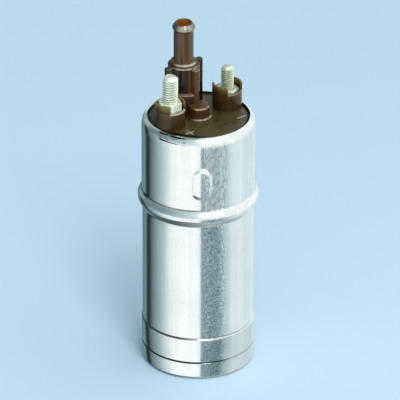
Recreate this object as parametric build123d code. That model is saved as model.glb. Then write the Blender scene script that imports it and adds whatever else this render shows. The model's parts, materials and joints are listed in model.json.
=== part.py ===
from build123d import *
import math
import os

# An electric fuel pump of the tank-mounted kind: a drawn metal can that holds a
# wet electric motor over a small internal-gear pump stage. Fuel is drawn in through the
# inlet bore in the base, passes the two rotors and the motor, and leaves by
# the barbed nozzle in the plastic cover, past a spring-loaded check valve.
# Origin: centre of the base plane. +Z runs up the motor shaft, towards the nozzle.
# Sizes are in millimetres. "Low" and "top" values are heights above the base plane.

# Clearances
slip = 0.05             # between round parts that are pushed together
shaft_clearance = 0.03  # shaft in its two bushes
axial_play = 0.05       # each side of the rotors in their chamber
mesh_clearance = 0.06   # between the two rotors' flanks
valve_gap = 0.03        # closed valves off their conical seats

# Can: a drawn tube with a rolled bead, curled inwards over the cover at its top
can_radius = 21.5       # outside, below the bead
upper_growth = 0.3      # the tube is this much larger in radius above the bead
can_sheet = 0.9
can_height = 103.9      # base plane to the top of the curled edge
curl_radius = 2.9       # outside radius of the curled edge
curl_angle = 74         # degrees
bead_rise = 1.8         # crest of the bead proud of the can
bead_arc = 3.2          # outside radius of the bead's section
bead_fillet = 2.5
bead_above_skirt = 4.2  # bead's middle above the skirt's foot

# Raised oblong pad pressed out of the can
pad_width = 7.2
pad_length = 12.4
pad_rise = 0.7
pad_slope = 28          # degrees, of its flanks
pad_height = 85.0       # its middle
pad_direction = -87     # degrees round the can
pad_root = 1.0          # its block starts this far inside the wall

# Base cup, pushed over the necked lower end of the can
neck_depth = 0.5        # the can's lower end is drawn in by this much
neck_taper = 0.7        # height of the slope from neck to can
cup_sheet = 0.8
cup_corner = 1.5
cup_lip = 2.25          # how far the bottom edge is turned in
crimp_height = 7.35
crimp_width = 0.8
crimp_depth = 0.3

# Pump stage, from the base up
flange_thickness = 5.0  # inlet cover's flange, between the cup's lip and the can
spigot_height = 2.0     # inlet cover inside the can
inlet_bore_radius = 5.0
inlet_neck_wall = 1.6
inlet_offset = 9.0
base_recess = 1.5       # underside of the flange above the cup's lip
recess_margin = 1.0     # recess inside the lip's edge
boss_stand = 1.0        # shaft boss proud of the recess
inlet_neck_end = 0.6    # height of the inlet neck's open end
shaft_foot = 1.5        # shaft below the rotor chamber's floor
shaft_pocket = 3.0      # depth of the pocket that it stands in
pocket_clearance = 0.3
shaft_boss_wall = 2.2
rotor_height = 5.4
outlet_plate_thickness = 5.3
plate_seal_section = 1.05
plate_seal_share = 0.6  # seal's height in the plate
seal_play = 0.1         # seal in its groove, each side
bush_boss_height = 3.2
bush_boss_wall = 1.5
bush_floor = 0.8        # plate left under the lower bush
neck_inset = 0.2        # can's neck ends this far below the plate's top
port_width = 3.0
port_depth = 1.8
port_span = 130         # degrees
screw_count = 3
screw_radius = 1.45
screw_head_radius = 2.4
screw_head_height = 2.2
screw_length = 13.0     # under the head
screw_wall = 0.5        # metal between the screw heads and the edge of the stage
screw_inset = 0.4       # heads above the lip
screw_boss_wall = 1.0
screw_boss_low = 0.2    # foot of the screw and relief bosses above the lip
screw_end_room = 0.3    # blind hole past the screw's end
socket_radius = 1.25
socket_depth = 1.3

# Rotors: an inner rotor of six teeth in an outer rotor of seven lobes
inner_teeth = 6
points_per_tooth = 14
eccentricity = 1.15
lobe_circle = 11.5      # radius of the circle through the lobes' centres
lobe_radius = 3.6
outer_rotor_radius = 13.5

# Motor
shaft_radius = 2.5
shaft_flat = 0.5        # depth of the flat that drives the inner rotor
shaft_end_chamfer = 0.3
shaft_end_gap = 0.8     # shaft's end below the closed top of the cover's boss
bush_wall = 1.4
flux_wall = 1.95
flux_length = 47.4
magnet_thickness = 3.3
magnet_length = 36.0
magnet_span = 130       # degrees
magnet_low_gap = 5.4    # magnets above the pump stage
clip_thickness = 0.5
clip_play = 0.3         # clips from the magnets' ends
clip_leaf_inset = 0.8   # clips' leaves short of the magnets' bore
air_gap = 0.7
core_length = 28.0
core_hub = 6.0
slot_count = 8
tooth_width = 3.0
tooth_tip = 1.6
slot_opening = 2.2
end_turn_height = 4.2
end_turn_corner = 1.5
slot_overrun = 1.0      # coils past the core before they turn
commutator_radius = 9.8
commutator_disc = 3.5
hub_neck = 1.2          # hub drawn in under the disc
segment_count = 8
segment_height = 2.0
segment_gap = 0.6
segment_edge = 0.2      # rim of the hub outside the segments
segment_bore_wall = 1.9
hub_collar_wall = 1.4   # raised collar inside the segments
hub_collar_drop = 0.4
washer_thickness = 0.8
washer_rim = 0.8        # washers wider than the bushes

# Brushes, in a holder under the cover
brush_offset = 6.8
brush_size = (4.0, 6.0, 10.0)
brush_clearance = 0.1
brush_contact = 0.02    # brush off the commutator
brush_spring_length = 8.8
brush_travel = 3.0
holder_thickness = 2.0
holder_gap = 1.2        # holder above the commutator
guide_wall = 0.9
guide_top_gap = 4.4     # brush guides below the cover's disc
holder_bore_gap = 1.2   # holder's middle hole round the shaft
flow_hole_count = 4
flow_hole_radius = 2.6
flow_hole_circle = 11.6
lead_slot_play = 0.7    # beside the brush leads in their slots
lead_slot_foot = 5.0    # slots' feet below the brush's top
spring_wire = 0.45
brush_spring_radius = 1.5
choke_radius = 1.95
choke_core_radius = 1.3
choke_length = 12.0
choke_bare_end = 1.0    # core past its winding, at each end
lead_radius = 0.35
lead_drop = 1.5         # leads leave this far below the brush's top
lead_outset = 0.6       # leads run this far outside the guide
lead_sway = 3.2         # and this far to the side
lead_bend = 0.6

# Cover: a moulded disc with a skirt below, and the terminals and outlet above
layout_turn = 37.5      # degrees from +X to the line through the two terminals
disc_thickness = 4.5
disc_drop = 0.6         # disc's face below the top of the curled edge
face_radius = 18.7      # raised face of the disc, inside the curled edge
face_step = 0.7
seal_land = 0.9         # the skirt is this much smaller inside the bead
seal_shoulder = 3.6     # top of that land above the bead's middle
seal_wall = 1.7         # skirt's wall there
holder_step = 0.6       # shoulder in the skirt that the brush holder meets
edge_draft = 0.2
terminal_offset = 13.6
shroud_radius = 5.75
shroud_wall = 0.9
shroud_height = 10.1    # above the disc's face
shroud_low_rim = 7.2
shroud_floor = 5.3
shroud_span = 96        # degrees, of each of the two tall walls
shroud_turn = 6         # degrees, of the tall walls from the terminals' line
boss_radius = 4.1
boss_height = 4.8
boss_chamfer = 0.5
boss_foot_rim = 0.9     # ring round the boss's foot
boss_foot_height = 0.5
boss_roof = 1.6         # closed top of the boss
hub_radius = 4.8        # under the disc, round the upper bush
hub_depth = 2.6
upper_bush_rise = 3.3   # upper bush's top above the disc's underside

# Terminals: plain studs where the threads run, with a hex collar
plus_radius = 3.0
minus_radius = 2.5
plus_height = 10.7      # above its collar
minus_height = 9.35
collar_flats = 8.0
plus_collar_height = 5.0
minus_collar_height = 2.6
stud_head_radius = 3.8
stud_head_height = 1.8
stud_seal_section = 1.0
stud_point = 0.4        # share of the radius taken off as a chamfer at the tip
relief_depth = 0.4      # groove where the thread ends above the collar
relief_width = 0.8
collar_crown = 0.5      # chamfer of the collar's corners
plus_collar_turn = 4.5  # degrees in the layout
minus_collar_turn = 22.5

# Outlet
outlet_offset = 9.5
pillar_radius = 6.05
pillar_height = 18.7    # above the disc's face
fin_reach = 8.5         # from the pillar's axis
fin_width = 2.3
shelf_reach = 8.3
shelf_height = 8.7
valve_passage = 2.4
valve_chamber = 4.5
valve_seat_low = 3.4    # above the disc's face
valve_head = 1.2
valve_head_inset = 0.8  # valve's head smaller than its chamber
valve_tip = 1.2
valve_stem = 1.1
stem_overrun = 0.4      # stem past its guide
stem_play = 0.1
valve_spring_length = 4.8
valve_spring_gap = 0.7  # spring's middle line outside the stem
valve_travel = 1.5
guide_height = 1.6
guide_hub = 2.2
guide_rim = 0.75
guide_spoke = 0.9
nozzle_radius = 3.85
nozzle_bore = 2.5
nozzle_height = 17.2    # above the pillar
nozzle_collar = 1.2     # height of the step round the nozzle's root
nozzle_collar_rim = 1.3
collar_draft = 0.35
barb_rise = 0.43
barb_land = 0.9
barb_taper = 0.7
barb_nose = 1.4
barb_nose_radius = 3.3

# Relief valve, in the thick side of the pump ring
relief_offset = 16.2
relief_bore = 2.3
relief_passage = 1.3
relief_ball_radius = 2.0
relief_throat = 1.4
relief_travel = 1.0
relief_sleeve_length = 4.0
relief_sleeve_inset = 1.5
relief_sleeve_bore = 1.1
relief_boss_wall = 1.2
relief_spring_share = 0.72  # spring's radius to the ball's

# Radii that follow
can_bore = can_radius - can_sheet
upper_radius = can_radius + upper_growth
upper_bore = upper_radius - can_sheet
neck_radius = can_radius - neck_depth
neck_bore = neck_radius - can_sheet
cup_bore = neck_radius + slip
cup_radius = cup_bore + cup_sheet
stage_radius = neck_bore - 2 * slip
bead_crest = can_radius + bead_rise
bead_centre_radius = bead_crest - bead_arc
flux_radius = can_bore - slip
flux_bore = flux_radius - flux_wall
magnet_radius = flux_bore - slip
magnet_bore = magnet_radius - magnet_thickness
core_radius = magnet_bore - air_gap
bush_bore = shaft_radius + shaft_clearance
bush_radius = bush_bore + bush_wall
cover_radius = upper_bore - slip
seal_seat = cover_radius - seal_land
skirt_bore = seal_seat - seal_wall
screw_circle = stage_radius - screw_wall - screw_head_radius
nozzle_plug = valve_chamber - slip
barb_radius = nozzle_radius + barb_rise

# Heights that follow
can_foot = cup_sheet + flange_thickness
chamber_floor = can_foot + spigot_height
chamber_height = rotor_height + 2 * axial_play
chamber_roof = chamber_floor + chamber_height
motor_floor = chamber_roof + outlet_plate_thickness
bush_boss_top = motor_floor + bush_boss_height
screw_low = cup_sheet + screw_inset
plate_seal_height = chamber_roof + outlet_plate_thickness * plate_seal_share
neck_top = motor_floor - neck_inset
cup_height = neck_top - neck_taper
flux_top = motor_floor + flux_length
bead_height = flux_top + bead_above_skirt
magnet_low = motor_floor + magnet_low_gap
core_low = magnet_low + (magnet_length - core_length) / 2
core_top = core_low + core_length
curl_centre = can_height - curl_radius * math.sin(math.radians(curl_angle))
disc_face = can_height - disc_drop
disc_ledge = disc_face - face_step
disc_under = disc_face - disc_thickness
guide_top = disc_under - guide_top_gap
brush_top = disc_under - brush_spring_length
brush_face = brush_top - brush_size[2]
commutator_top = brush_face - brush_contact
holder_low = commutator_top + holder_gap
holder_top = holder_low + holder_thickness
choke_top = disc_under - stud_head_height - slip
collar_low = disc_face + shroud_floor
boss_top = disc_face + boss_height
shroud_top = disc_face + shroud_height
pillar_top = disc_face + pillar_height
seat_low = disc_face + valve_seat_low
nozzle_top = pillar_top + nozzle_height


def layout(u, v, z=0.0):
    """A place on the cover: u runs along the terminals' line, v towards the outlet."""
    return Rot(0, 0, layout_turn) * Pos(u, v, z)


def rod(radius, low, top):
    return Pos(0, 0, low) * extrude(Circle(radius), top - low)


def ring(outer, inner, low, top):
    return Pos(0, 0, low) * extrude(Circle(outer) - Circle(inner), top - low)


def turned(*points):
    """A solid of revolution about Z from its (radius, height) corners."""
    return revolve(Plane.XZ * make_face(Polyline(*points, close=True)), Axis.Z)


def sector(radius, start, span):
    """A pie slice, as a sketch, from an angle in degrees."""
    reach = radius / math.cos(math.radians(span / 4))
    corners = [(0, 0)]
    for step in range(3):
        angle = math.radians(start + span * step / 2)
        corners.append((reach * math.cos(angle) * 2, reach * math.sin(angle) * 2))
    return Circle(radius) & make_face(Polyline(*corners, close=True))


def coil_spring(radius, wire, low, top, turns):
    """A compression spring about Z with its two ends ground flat."""
    height = top - low
    pitch = height / turns
    path = Helix(pitch, height + pitch / 2, radius)
    section = Plane(origin=path @ 0, z_dir=path % 0) * RegularPolygon(wire / 2, 6)
    coil = Pos(0, 0, low - pitch / 4) * sweep(section, path)
    return coil & rod(radius + 2 * wire, low, top)


# Casing

def bead_side(line_radius, side, inset):
    """Tangent points of one flank of the bead: on the tube, and on the bead's arc.

    The fillet's centre is the same for both faces of the sheet, so a face that lies inset
    behind the outside keeps the sheet's thickness round the bend."""
    centre_radius = line_radius + bead_fillet
    reach = bead_arc + bead_fillet
    rise = side * math.sqrt(reach**2 - (centre_radius - bead_centre_radius) ** 2)
    fillet = Vector(centre_radius, bead_height + rise)
    arc_centre = Vector(bead_centre_radius, bead_height)
    on_arc = arc_centre + (fillet - arc_centre).normalized() * (bead_arc - inset)
    on_tube = Vector(line_radius - inset, bead_height + rise)
    return on_tube, on_arc, fillet


def fillet_middle(on_tube, on_arc, centre):
    """The point half way round a fillet, from its two ends and its centre."""
    size = (on_tube - centre).length
    return centre + ((on_tube - centre) + (on_arc - centre)).normalized() * size


def can_face(inset):
    """Edges of one face of the can's sheet, from its foot to its curled edge."""
    low_tube, low_arc, low_centre = bead_side(can_radius, -1, inset)
    top_tube, top_arc, top_centre = bead_side(upper_radius, 1, inset)
    crest = Vector(bead_crest - inset, bead_height)
    curl = Vector(upper_radius - curl_radius, curl_centre)
    curl_size = curl_radius - inset

    def on_curl(angle):
        turn = math.radians(angle)
        return curl + Vector(math.cos(turn), math.sin(turn)) * curl_size

    foot = Vector(neck_radius - inset, can_foot)
    neck_end = Vector(neck_radius - inset, cup_height)
    slope_end = Vector(can_radius - inset, neck_top)
    return [
        Line(foot, neck_end),
        Line(neck_end, slope_end),
        Line(slope_end, low_tube),
        ThreePointArc(low_tube, fillet_middle(low_tube, low_arc, low_centre), low_arc),
        ThreePointArc(low_arc, crest, top_arc),
        ThreePointArc(top_arc, fillet_middle(top_tube, top_arc, top_centre), top_tube),
        Line(top_tube, on_curl(0)),
        ThreePointArc(on_curl(0), on_curl(curl_angle / 2), on_curl(curl_angle)),
    ]


def pad_block(inset, outer):
    """The pad's tapering block, from inside the can's wall out to its face."""
    root = can_bore - pad_root
    depth = outer - root
    spread = math.tan(math.radians(pad_slope)) * depth
    outline = SlotOverall(
        pad_length + 2 * (spread - inset), pad_width + 2 * (spread - inset), rotation=90
    )
    block = extrude(outline, depth, taper=pad_slope)
    turn = math.radians(pad_direction)
    outward = Vector(math.cos(turn), math.sin(turn), 0)
    start = outward * root + Vector(0, 0, pad_height)
    side = Vector(-outward.Y, outward.X, 0)
    return (Plane(origin=start, x_dir=side, z_dir=outward) * block) & rod(
        outer, 0, can_height
    )


def make_can():
    outside = can_face(0)
    inside = can_face(can_sheet)
    ends = [Line(outside[0] @ 0, inside[0] @ 0), Line(outside[-1] @ 1, inside[-1] @ 1)]
    section = make_face(Curve() + outside + inside + ends)
    shell = revolve(Plane.XZ * section, Axis.Z)
    face = upper_radius + pad_rise
    return shell + pad_block(0, face) - pad_block(can_sheet / 2, face - can_sheet) - rod(
        upper_bore, pad_height - pad_length, pad_height + pad_length
    )


def make_base_cup():
    corner = Vector(cup_radius - cup_corner, cup_corner)
    edge = cup_radius - cup_lip
    bend = math.radians(45)

    def face(size, radius, floor):
        out, down = Vector(radius, cup_corner), Vector(corner.X, floor)
        middle = corner + Vector(math.cos(bend), -math.sin(bend)) * size
        return [
            Line((radius, cup_height), out),
            ThreePointArc(out, middle, down),
            Line(down, (edge, floor)),
        ]

    outside = face(cup_corner, cup_radius, 0)
    inside = face(cup_corner - cup_sheet, cup_bore, cup_sheet)
    ends = [Line(outside[0] @ 0, inside[0] @ 0), Line(outside[-1] @ 1, inside[-1] @ 1)]
    cup = revolve(Plane.XZ * make_face(Curve() + outside + inside + ends), Axis.Z)
    groove = turned(
        (cup_radius - crimp_depth, crimp_height),
        (cup_radius + crimp_depth, crimp_height - crimp_width),
        (cup_radius + crimp_depth, crimp_height + crimp_width),
    )
    return cup - groove


def make_cover_seal():
    section = (bead_crest - can_sheet - seal_seat) / 2 - slip
    return Pos(0, 0, bead_height) * Torus(seal_seat + section + slip, section)


# Pump stage

def port(start):
    """A kidney-shaped port over the pumping chambers of one side, as a sketch."""
    middle = lobe_circle - lobe_radius + eccentricity / 2
    return SlotArc(CenterArc((0, 0), middle, start, port_span), port_width)


def screw_places():
    return [
        Rot(0, 0, layout_turn + 180 + 360 * n / screw_count) * Pos(screw_circle, 0)
        for n in range(screw_count)
    ]


def screw_holes(low, top):
    return [place * rod(screw_radius + slip, low, top) for place in screw_places()]


def make_inlet_cover():
    flange_radius = cup_bore - slip
    recess_top = cup_sheet + base_recess
    recess_radius = flange_radius - cup_lip - recess_margin
    blank = turned(
        (0, recess_top),
        (recess_radius, recess_top),
        (recess_radius, cup_sheet),
        (flange_radius - cup_corner + cup_sheet - slip, cup_sheet),
        (flange_radius, cup_corner),
        (flange_radius, can_foot),
        (stage_radius, can_foot),
        (stage_radius, chamber_floor),
        (0, chamber_floor),
    )
    inlet = layout(0, inlet_offset)
    relief = layout(relief_offset, 0)
    cover = blank + inlet * rod(inlet_bore_radius + inlet_neck_wall, inlet_neck_end, can_foot)
    pocket_radius = shaft_radius + pocket_clearance
    cover += rod(pocket_radius + shaft_boss_wall, recess_top - boss_stand, can_foot)
    boss_low = cup_sheet + screw_boss_low
    cover += relief * rod(relief_bore + relief_boss_wall, boss_low, can_foot)
    for place in screw_places():
        cover += place * rod(screw_head_radius + screw_boss_wall, boss_low, can_foot)
    cover &= rod(flange_radius, 0, chamber_floor)
    start = layout_turn + 90 - port_span / 2
    cover -= Pos(0, 0, chamber_floor - port_depth) * extrude(port(start), port_depth)
    cover -= inlet * rod(inlet_bore_radius, 0, chamber_floor - port_depth / 2)
    cover -= rod(pocket_radius, chamber_floor - shaft_pocket, chamber_floor)
    cover -= relief * rod(relief_bore, 0, chamber_floor)
    for place in screw_places():
        cover -= place * rod(screw_head_radius + slip, 0, screw_low + screw_head_height)
    for hole in screw_holes(0, chamber_floor):
        cover -= hole
    return cover


def make_pump_ring():
    blank = rod(stage_radius, chamber_floor, chamber_roof)
    blank -= layout(-eccentricity, 0) * rod(
        outer_rotor_radius + slip, chamber_floor, chamber_roof
    )
    blank -= layout(relief_offset, 0) * rod(relief_bore, chamber_floor, chamber_roof)
    for hole in screw_holes(chamber_floor, chamber_roof):
        blank -= hole
    return blank


def make_outlet_plate():
    plate = turned(
        (0, chamber_roof),
        (stage_radius, chamber_roof),
        (stage_radius, motor_floor),
        (bush_radius + bush_boss_wall, motor_floor),
        (bush_radius + bush_boss_wall, bush_boss_top),
        (0, bush_boss_top),
    )
    plate -= rod(bush_radius + slip, chamber_roof + bush_floor, bush_boss_top)
    plate -= rod(shaft_radius + pocket_clearance, chamber_roof, motor_floor)
    start = layout_turn - 90 - port_span / 2
    plate -= Pos(0, 0, chamber_roof) * extrude(port(start), outlet_plate_thickness)
    groove = plate_seal_section / 2 + seal_play
    plate -= ring(
        neck_bore,
        neck_bore - plate_seal_section - 2 * slip,
        plate_seal_height - groove,
        plate_seal_height + groove,
    )
    relief = layout(relief_offset, 0)
    throat = motor_floor - relief_throat
    cone_foot = throat - (relief_bore - relief_passage)
    plate -= relief * turned(
        (0, chamber_roof),
        (relief_bore, chamber_roof),
        (relief_bore, cone_foot),
        (relief_passage, throat),
        (relief_passage, motor_floor),
        (0, motor_floor),
    )
    screw_end = screw_low + screw_head_height + screw_length + screw_end_room
    for hole in screw_holes(chamber_roof, screw_end):
        plate -= hole
    return plate


def make_plate_seal():
    section = plate_seal_section / 2
    return Pos(0, 0, plate_seal_height) * Torus(neck_bore - section - slip, section)


def make_pump_screws():
    shoulder = screw_low + screw_head_height
    screw = rod(screw_head_radius, screw_low, shoulder)
    screw += rod(screw_radius, shoulder, shoulder + screw_length)
    screw -= Pos(0, 0, screw_low) * extrude(RegularPolygon(socket_radius, 6), socket_depth)
    return [place * screw for place in screw_places()]


def inner_rotor_outline():
    """The six-toothed curve that touches all seven lobes of the outer rotor at once.

    In the inner rotor's own frame a lobe's centre draws an epitrochoid, and the
    tooth flank is that curve moved inwards by the lobe's radius."""
    lobes = inner_teeth + 1
    samples = points_per_tooth * inner_teeth
    points = []
    for n in range(samples):
        t = 2 * math.pi * n / samples
        x = lobe_circle * math.cos(t) + eccentricity * math.cos(lobes * t)
        y = lobe_circle * math.sin(t) + eccentricity * math.sin(lobes * t)
        along_x = -lobe_circle * math.sin(t) - eccentricity * lobes * math.sin(lobes * t)
        along_y = lobe_circle * math.cos(t) + eccentricity * lobes * math.cos(lobes * t)
        speed = math.hypot(along_x, along_y)
        inwards = lobe_radius + mesh_clearance
        points.append((x - inwards * along_y / speed, y + inwards * along_x / speed))
    return make_face(Spline(*points, periodic=True))


def make_inner_rotor():
    low = chamber_floor + axial_play
    bore = Circle(shaft_radius + slip) - Pos(
        shaft_radius + slip - shaft_flat + shaft_radius, 0
    ) * Rectangle(2 * shaft_radius, 3 * shaft_radius)
    blank = extrude(inner_rotor_outline() - bore, rotor_height)
    return layout(0, 0, low) * Rot(0, 0, 180) * blank


def make_outer_rotor():
    low = chamber_floor + axial_play
    lobes = inner_teeth + 1
    root = lobe_circle - lobe_radius + 2 * eccentricity + 2 * mesh_clearance
    hollow = Circle(root)
    for n in range(lobes):
        hollow -= Rot(0, 0, 360 * n / lobes) * Pos(lobe_circle, 0) * Circle(lobe_radius)
    blank = extrude(Circle(outer_rotor_radius) - hollow, rotor_height)
    return layout(-eccentricity, 0, low) * Rot(0, 0, 180) * blank


# Relief valve

def relief_ball_centre():
    """Height of the ball's centre against its 45-degree seat."""
    apex = motor_floor - relief_throat + relief_passage
    return apex - (relief_ball_radius + valve_gap) * math.sqrt(2)


def make_relief_ball():
    return layout(relief_offset, 0, relief_ball_centre()) * Sphere(relief_ball_radius)


def relief_spring_ends():
    radius = relief_ball_radius * relief_spring_share
    rest = relief_ball_centre() - math.sqrt(relief_ball_radius**2 - radius**2)
    low = cup_sheet + relief_sleeve_inset + relief_sleeve_length
    return radius, low, rest - spring_wire / 2


def make_relief_spring():
    radius, low, top = relief_spring_ends()
    return layout(relief_offset, 0) * coil_spring(radius, spring_wire, low, top, 6)


def make_relief_sleeve():
    low = cup_sheet + relief_sleeve_inset
    sleeve = ring(relief_bore - slip, relief_sleeve_bore, low, low + relief_sleeve_length)
    return layout(relief_offset, 0) * sleeve


# Motor

def make_shaft():
    low = chamber_floor - shaft_foot
    shaft = rod(shaft_radius, low, boss_top - boss_roof - shaft_end_gap)
    shaft = chamfer(shaft.edges().filter_by(GeomType.CIRCLE), shaft_end_chamfer)
    flat = Pos(2 * shaft_radius - shaft_flat, 0, low) * extrude(
        Rectangle(2 * shaft_radius, 3 * shaft_radius), chamber_roof - low
    )
    return shaft - layout(0, 0) * Rot(0, 0, 180) * flat


def make_lower_bush():
    return ring(bush_radius, bush_bore, chamber_roof + bush_floor + slip, bush_boss_top)


def make_upper_bush():
    return ring(bush_radius, bush_bore, disc_under - hub_depth, disc_under + upper_bush_rise)


def make_flux_ring():
    return ring(flux_radius, flux_bore, motor_floor, flux_top)


def make_magnet(direction):
    section = sector(magnet_radius, direction - magnet_span / 2, magnet_span)
    section -= Circle(magnet_bore)
    return Rot(0, 0, layout_turn) * Pos(0, 0, magnet_low) * extrude(section, magnet_length)


def make_magnet_clips():
    """Two spring clips that push the magnets apart: a strip with its ends turned in."""
    span = 180 - magnet_span - 2 * math.degrees(clip_play / magnet_bore)
    leaf = math.degrees(clip_thickness / magnet_bore)
    outer = magnet_radius - slip
    strip = sector(outer, -span / 2, span) - Circle(outer - clip_thickness)
    leaves = sector(outer, -span / 2, leaf) + sector(outer, span / 2 - leaf, leaf)
    section = strip + (leaves - Circle(magnet_bore + clip_leaf_inset))
    clip = Pos(0, 0, magnet_low) * extrude(section, magnet_length)
    return [Rot(0, 0, layout_turn + turn) * clip for turn in (0, 180)]


def tooth_shapes(width, reach):
    teeth = []
    for n in range(slot_count):
        tooth = Pos(reach / 2, 0) * Rectangle(reach, width)
        teeth.append(Rot(0, 0, 360 * n / slot_count) * tooth)
    return teeth


def make_armature_core():
    section = Circle(core_hub)
    for tooth in tooth_shapes(tooth_width, core_radius - tooth_tip):
        section += tooth
    rim = Circle(core_radius) - Circle(core_radius - tooth_tip)
    half_pitch = 180 / slot_count
    for n in range(slot_count):
        gap = Pos(core_radius, 0) * Rectangle(4 * tooth_tip, slot_opening)
        rim -= Rot(0, 0, 360 * n / slot_count + half_pitch) * gap
    section += rim
    section -= Circle(shaft_radius + slip / 2)
    return Pos(0, 0, core_low) * extrude(section, core_length)


def make_windings():
    inner, outer = core_hub + slip, core_radius - tooth_tip - slip
    fill = Circle(outer) - Circle(inner)
    for tooth in tooth_shapes(tooth_width + 4 * slip, core_radius):
        fill -= tooth
    coils = Pos(0, 0, core_low - slot_overrun) * extrude(fill, core_length + 2 * slot_overrun)
    corner = end_turn_corner
    for foot, way in ((core_top + slip, 1), (core_low - slip, -1)):
        coils += turned(
            (inner, foot),
            (outer, foot),
            (outer, foot + way * corner),
            (outer - corner, foot + way * end_turn_height),
            (inner + corner, foot + way * end_turn_height),
            (inner, foot + way * corner),
        )
    return coils


def make_commutator_hub():
    low = core_top + slip
    disc_top = commutator_top - segment_height
    sleeve = core_hub - slip
    return turned(
        (shaft_radius + slip, low),
        (sleeve, low),
        (sleeve - hub_neck, disc_top - commutator_disc),
        (commutator_radius, disc_top - commutator_disc),
        (commutator_radius, disc_top),
        (shaft_radius + hub_collar_wall, disc_top),
        (shaft_radius + hub_collar_wall, commutator_top - hub_collar_drop),
        (shaft_radius + slip, commutator_top - hub_collar_drop),
    )


def make_commutator_segments():
    face = Circle(commutator_radius - segment_edge) - Circle(shaft_radius + segment_bore_wall)
    for n in range(segment_count):
        gap = Pos(commutator_radius / 2, 0) * Rectangle(commutator_radius, segment_gap)
        face -= Rot(0, 0, 360 * n / segment_count) * gap
    bars = extrude(face, segment_height)
    return Pos(0, 0, commutator_top - segment_height) * bars


def make_thrust_washers():
    lower = bush_boss_top + axial_play
    upper = disc_under - hub_depth - axial_play - washer_thickness
    washer = ring(bush_radius + washer_rim, shaft_radius + slip, 0, washer_thickness)
    return [Pos(0, 0, lower) * washer, Pos(0, 0, upper) * washer]


def make_brush(side):
    long, wide, tall = brush_size
    block = Pos(0, 0, brush_face) * extrude(Rectangle(long, wide), tall)
    return layout(side * brush_offset, 0) * block


def make_brush_spring(side):
    spring = coil_spring(brush_spring_radius, spring_wire, brush_top, disc_under, 5)
    return layout(side * brush_offset, 0) * spring


def make_brush_holder():
    long, wide, _ = brush_size
    inner = (long + 2 * brush_clearance, wide + 2 * brush_clearance)
    outer = (inner[0] + 2 * guide_wall, inner[1] + 2 * guide_wall)
    holder = rod(skirt_bore - slip, holder_low, holder_top)
    lead_slot = 2 * (lead_radius + lead_slot_play)
    slot_foot = brush_top - lead_slot_foot
    for side in (-1, 1):
        guide = Pos(0, 0, holder_low) * extrude(Rectangle(*outer), guide_top - holder_low)
        holder += layout(side * brush_offset, 0) * guide
    for side in (-1, 1):
        place = layout(side * brush_offset, 0)
        channel = Pos(0, 0, holder_low) * extrude(Rectangle(*inner), guide_top - holder_low)
        holder -= place * channel
        slot = extrude(Rectangle(outer[0] / 2, lead_slot), guide_top - slot_foot)
        holder -= place * Pos(side * outer[0] / 2, 0, slot_foot) * slot
    holder -= rod(shaft_radius + holder_bore_gap, holder_low, guide_top)
    for n in range(flow_hole_count):
        turn = Rot(0, 0, layout_turn + 360 * (n + 0.5) / flow_hole_count)
        holder -= turn * Pos(flow_hole_circle, 0) * rod(flow_hole_radius, holder_low, holder_top)
    return holder


def choke_place(side):
    return layout(side * terminal_offset, 0)


def make_choke_cores():
    core = rod(choke_core_radius, choke_top - choke_length, choke_top)
    return [choke_place(side) * core for side in (-1, 1)]


def make_choke_windings():
    low, top = choke_top - choke_length + choke_bare_end, choke_top - choke_bare_end
    coil = ring(choke_radius, choke_core_radius + slip, low, top)
    return [choke_place(side) * coil for side in (-1, 1)]


def make_brush_lead(side):
    """A braided lead from the brush's outer face to the foot of the choke above it."""
    long, _, _ = brush_size
    leave = brush_top - lead_drop
    outside = brush_offset + long / 2 + brush_clearance + guide_wall + lead_outset
    foot = choke_top - choke_length - lead_radius - slip
    route = [
        (brush_offset + long / 2 + slip, 0, leave),
        (outside, 0, leave),
        (outside, -lead_sway, (leave + foot) / 2),
        (terminal_offset, -lead_sway, foot),
        (terminal_offset, lead_radius, foot),
    ]
    path = FilletPolyline(*route, radius=lead_bend)
    section = Plane(origin=path @ 0, z_dir=path % 0) * Circle(lead_radius)
    lead = sweep(section, path)
    turn = 0 if side > 0 else 180
    return Rot(0, 0, layout_turn + turn) * lead


# Terminals

def terminals():
    """Each terminal's name, place on the cover and stud radius."""
    return (
        ("plus", layout(-terminal_offset, 0), plus_radius),
        ("minus", layout(terminal_offset, 0), minus_radius),
    )


def make_stud(offset, radius, collar_height, height):
    collar_top = collar_low + collar_height
    top = collar_top + height
    point = radius * stud_point
    stud = turned(
        (0, disc_under - stud_head_height),
        (stud_head_radius, disc_under - stud_head_height),
        (stud_head_radius, disc_under),
        (radius, disc_under),
        (radius, collar_top),
        (radius - relief_depth, collar_top),
        (radius - relief_depth, collar_top + relief_width),
        (radius, collar_top + relief_width),
        (radius, top - point),
        (radius - point, top),
        (0, top),
    )
    return layout(offset, 0) * stud


def make_collar(offset, radius, collar_height, turn):
    collar_top = collar_low + collar_height
    corner = collar_flats / math.sqrt(3)
    outline = RegularPolygon(corner, 6, rotation=turn) - Circle(radius + slip)
    collar = Pos(0, 0, collar_low) * extrude(outline, collar_height)
    shape = turned(
        (0, collar_low),
        (corner, collar_low),
        (corner, collar_top - collar_crown / 2),
        (corner - 2 * collar_crown, collar_top),
        (0, collar_top),
    )
    return layout(offset, 0) * (collar & shape)


def make_stud_seals():
    section = stud_seal_section / 2
    seals = []
    for _, place, radius in terminals():
        seal = Torus(radius + section + slip, section)
        seals.append(place * Pos(0, 0, collar_low - section - slip) * seal)
    return seals


# Cover

def shroud():
    """A terminal's shroud: a low post with two tall walls that face along the line
    of the terminals, so a cable lug can lie out to either side of it."""
    low = disc_ledge
    cup = rod(shroud_radius, low, disc_face + shroud_low_rim)
    for turn in (0, 180):
        wall = sector(shroud_radius, turn + shroud_turn - shroud_span / 2, shroud_span)
        cup += Pos(0, 0, low) * extrude(wall, shroud_top - low)
    return cup


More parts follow.
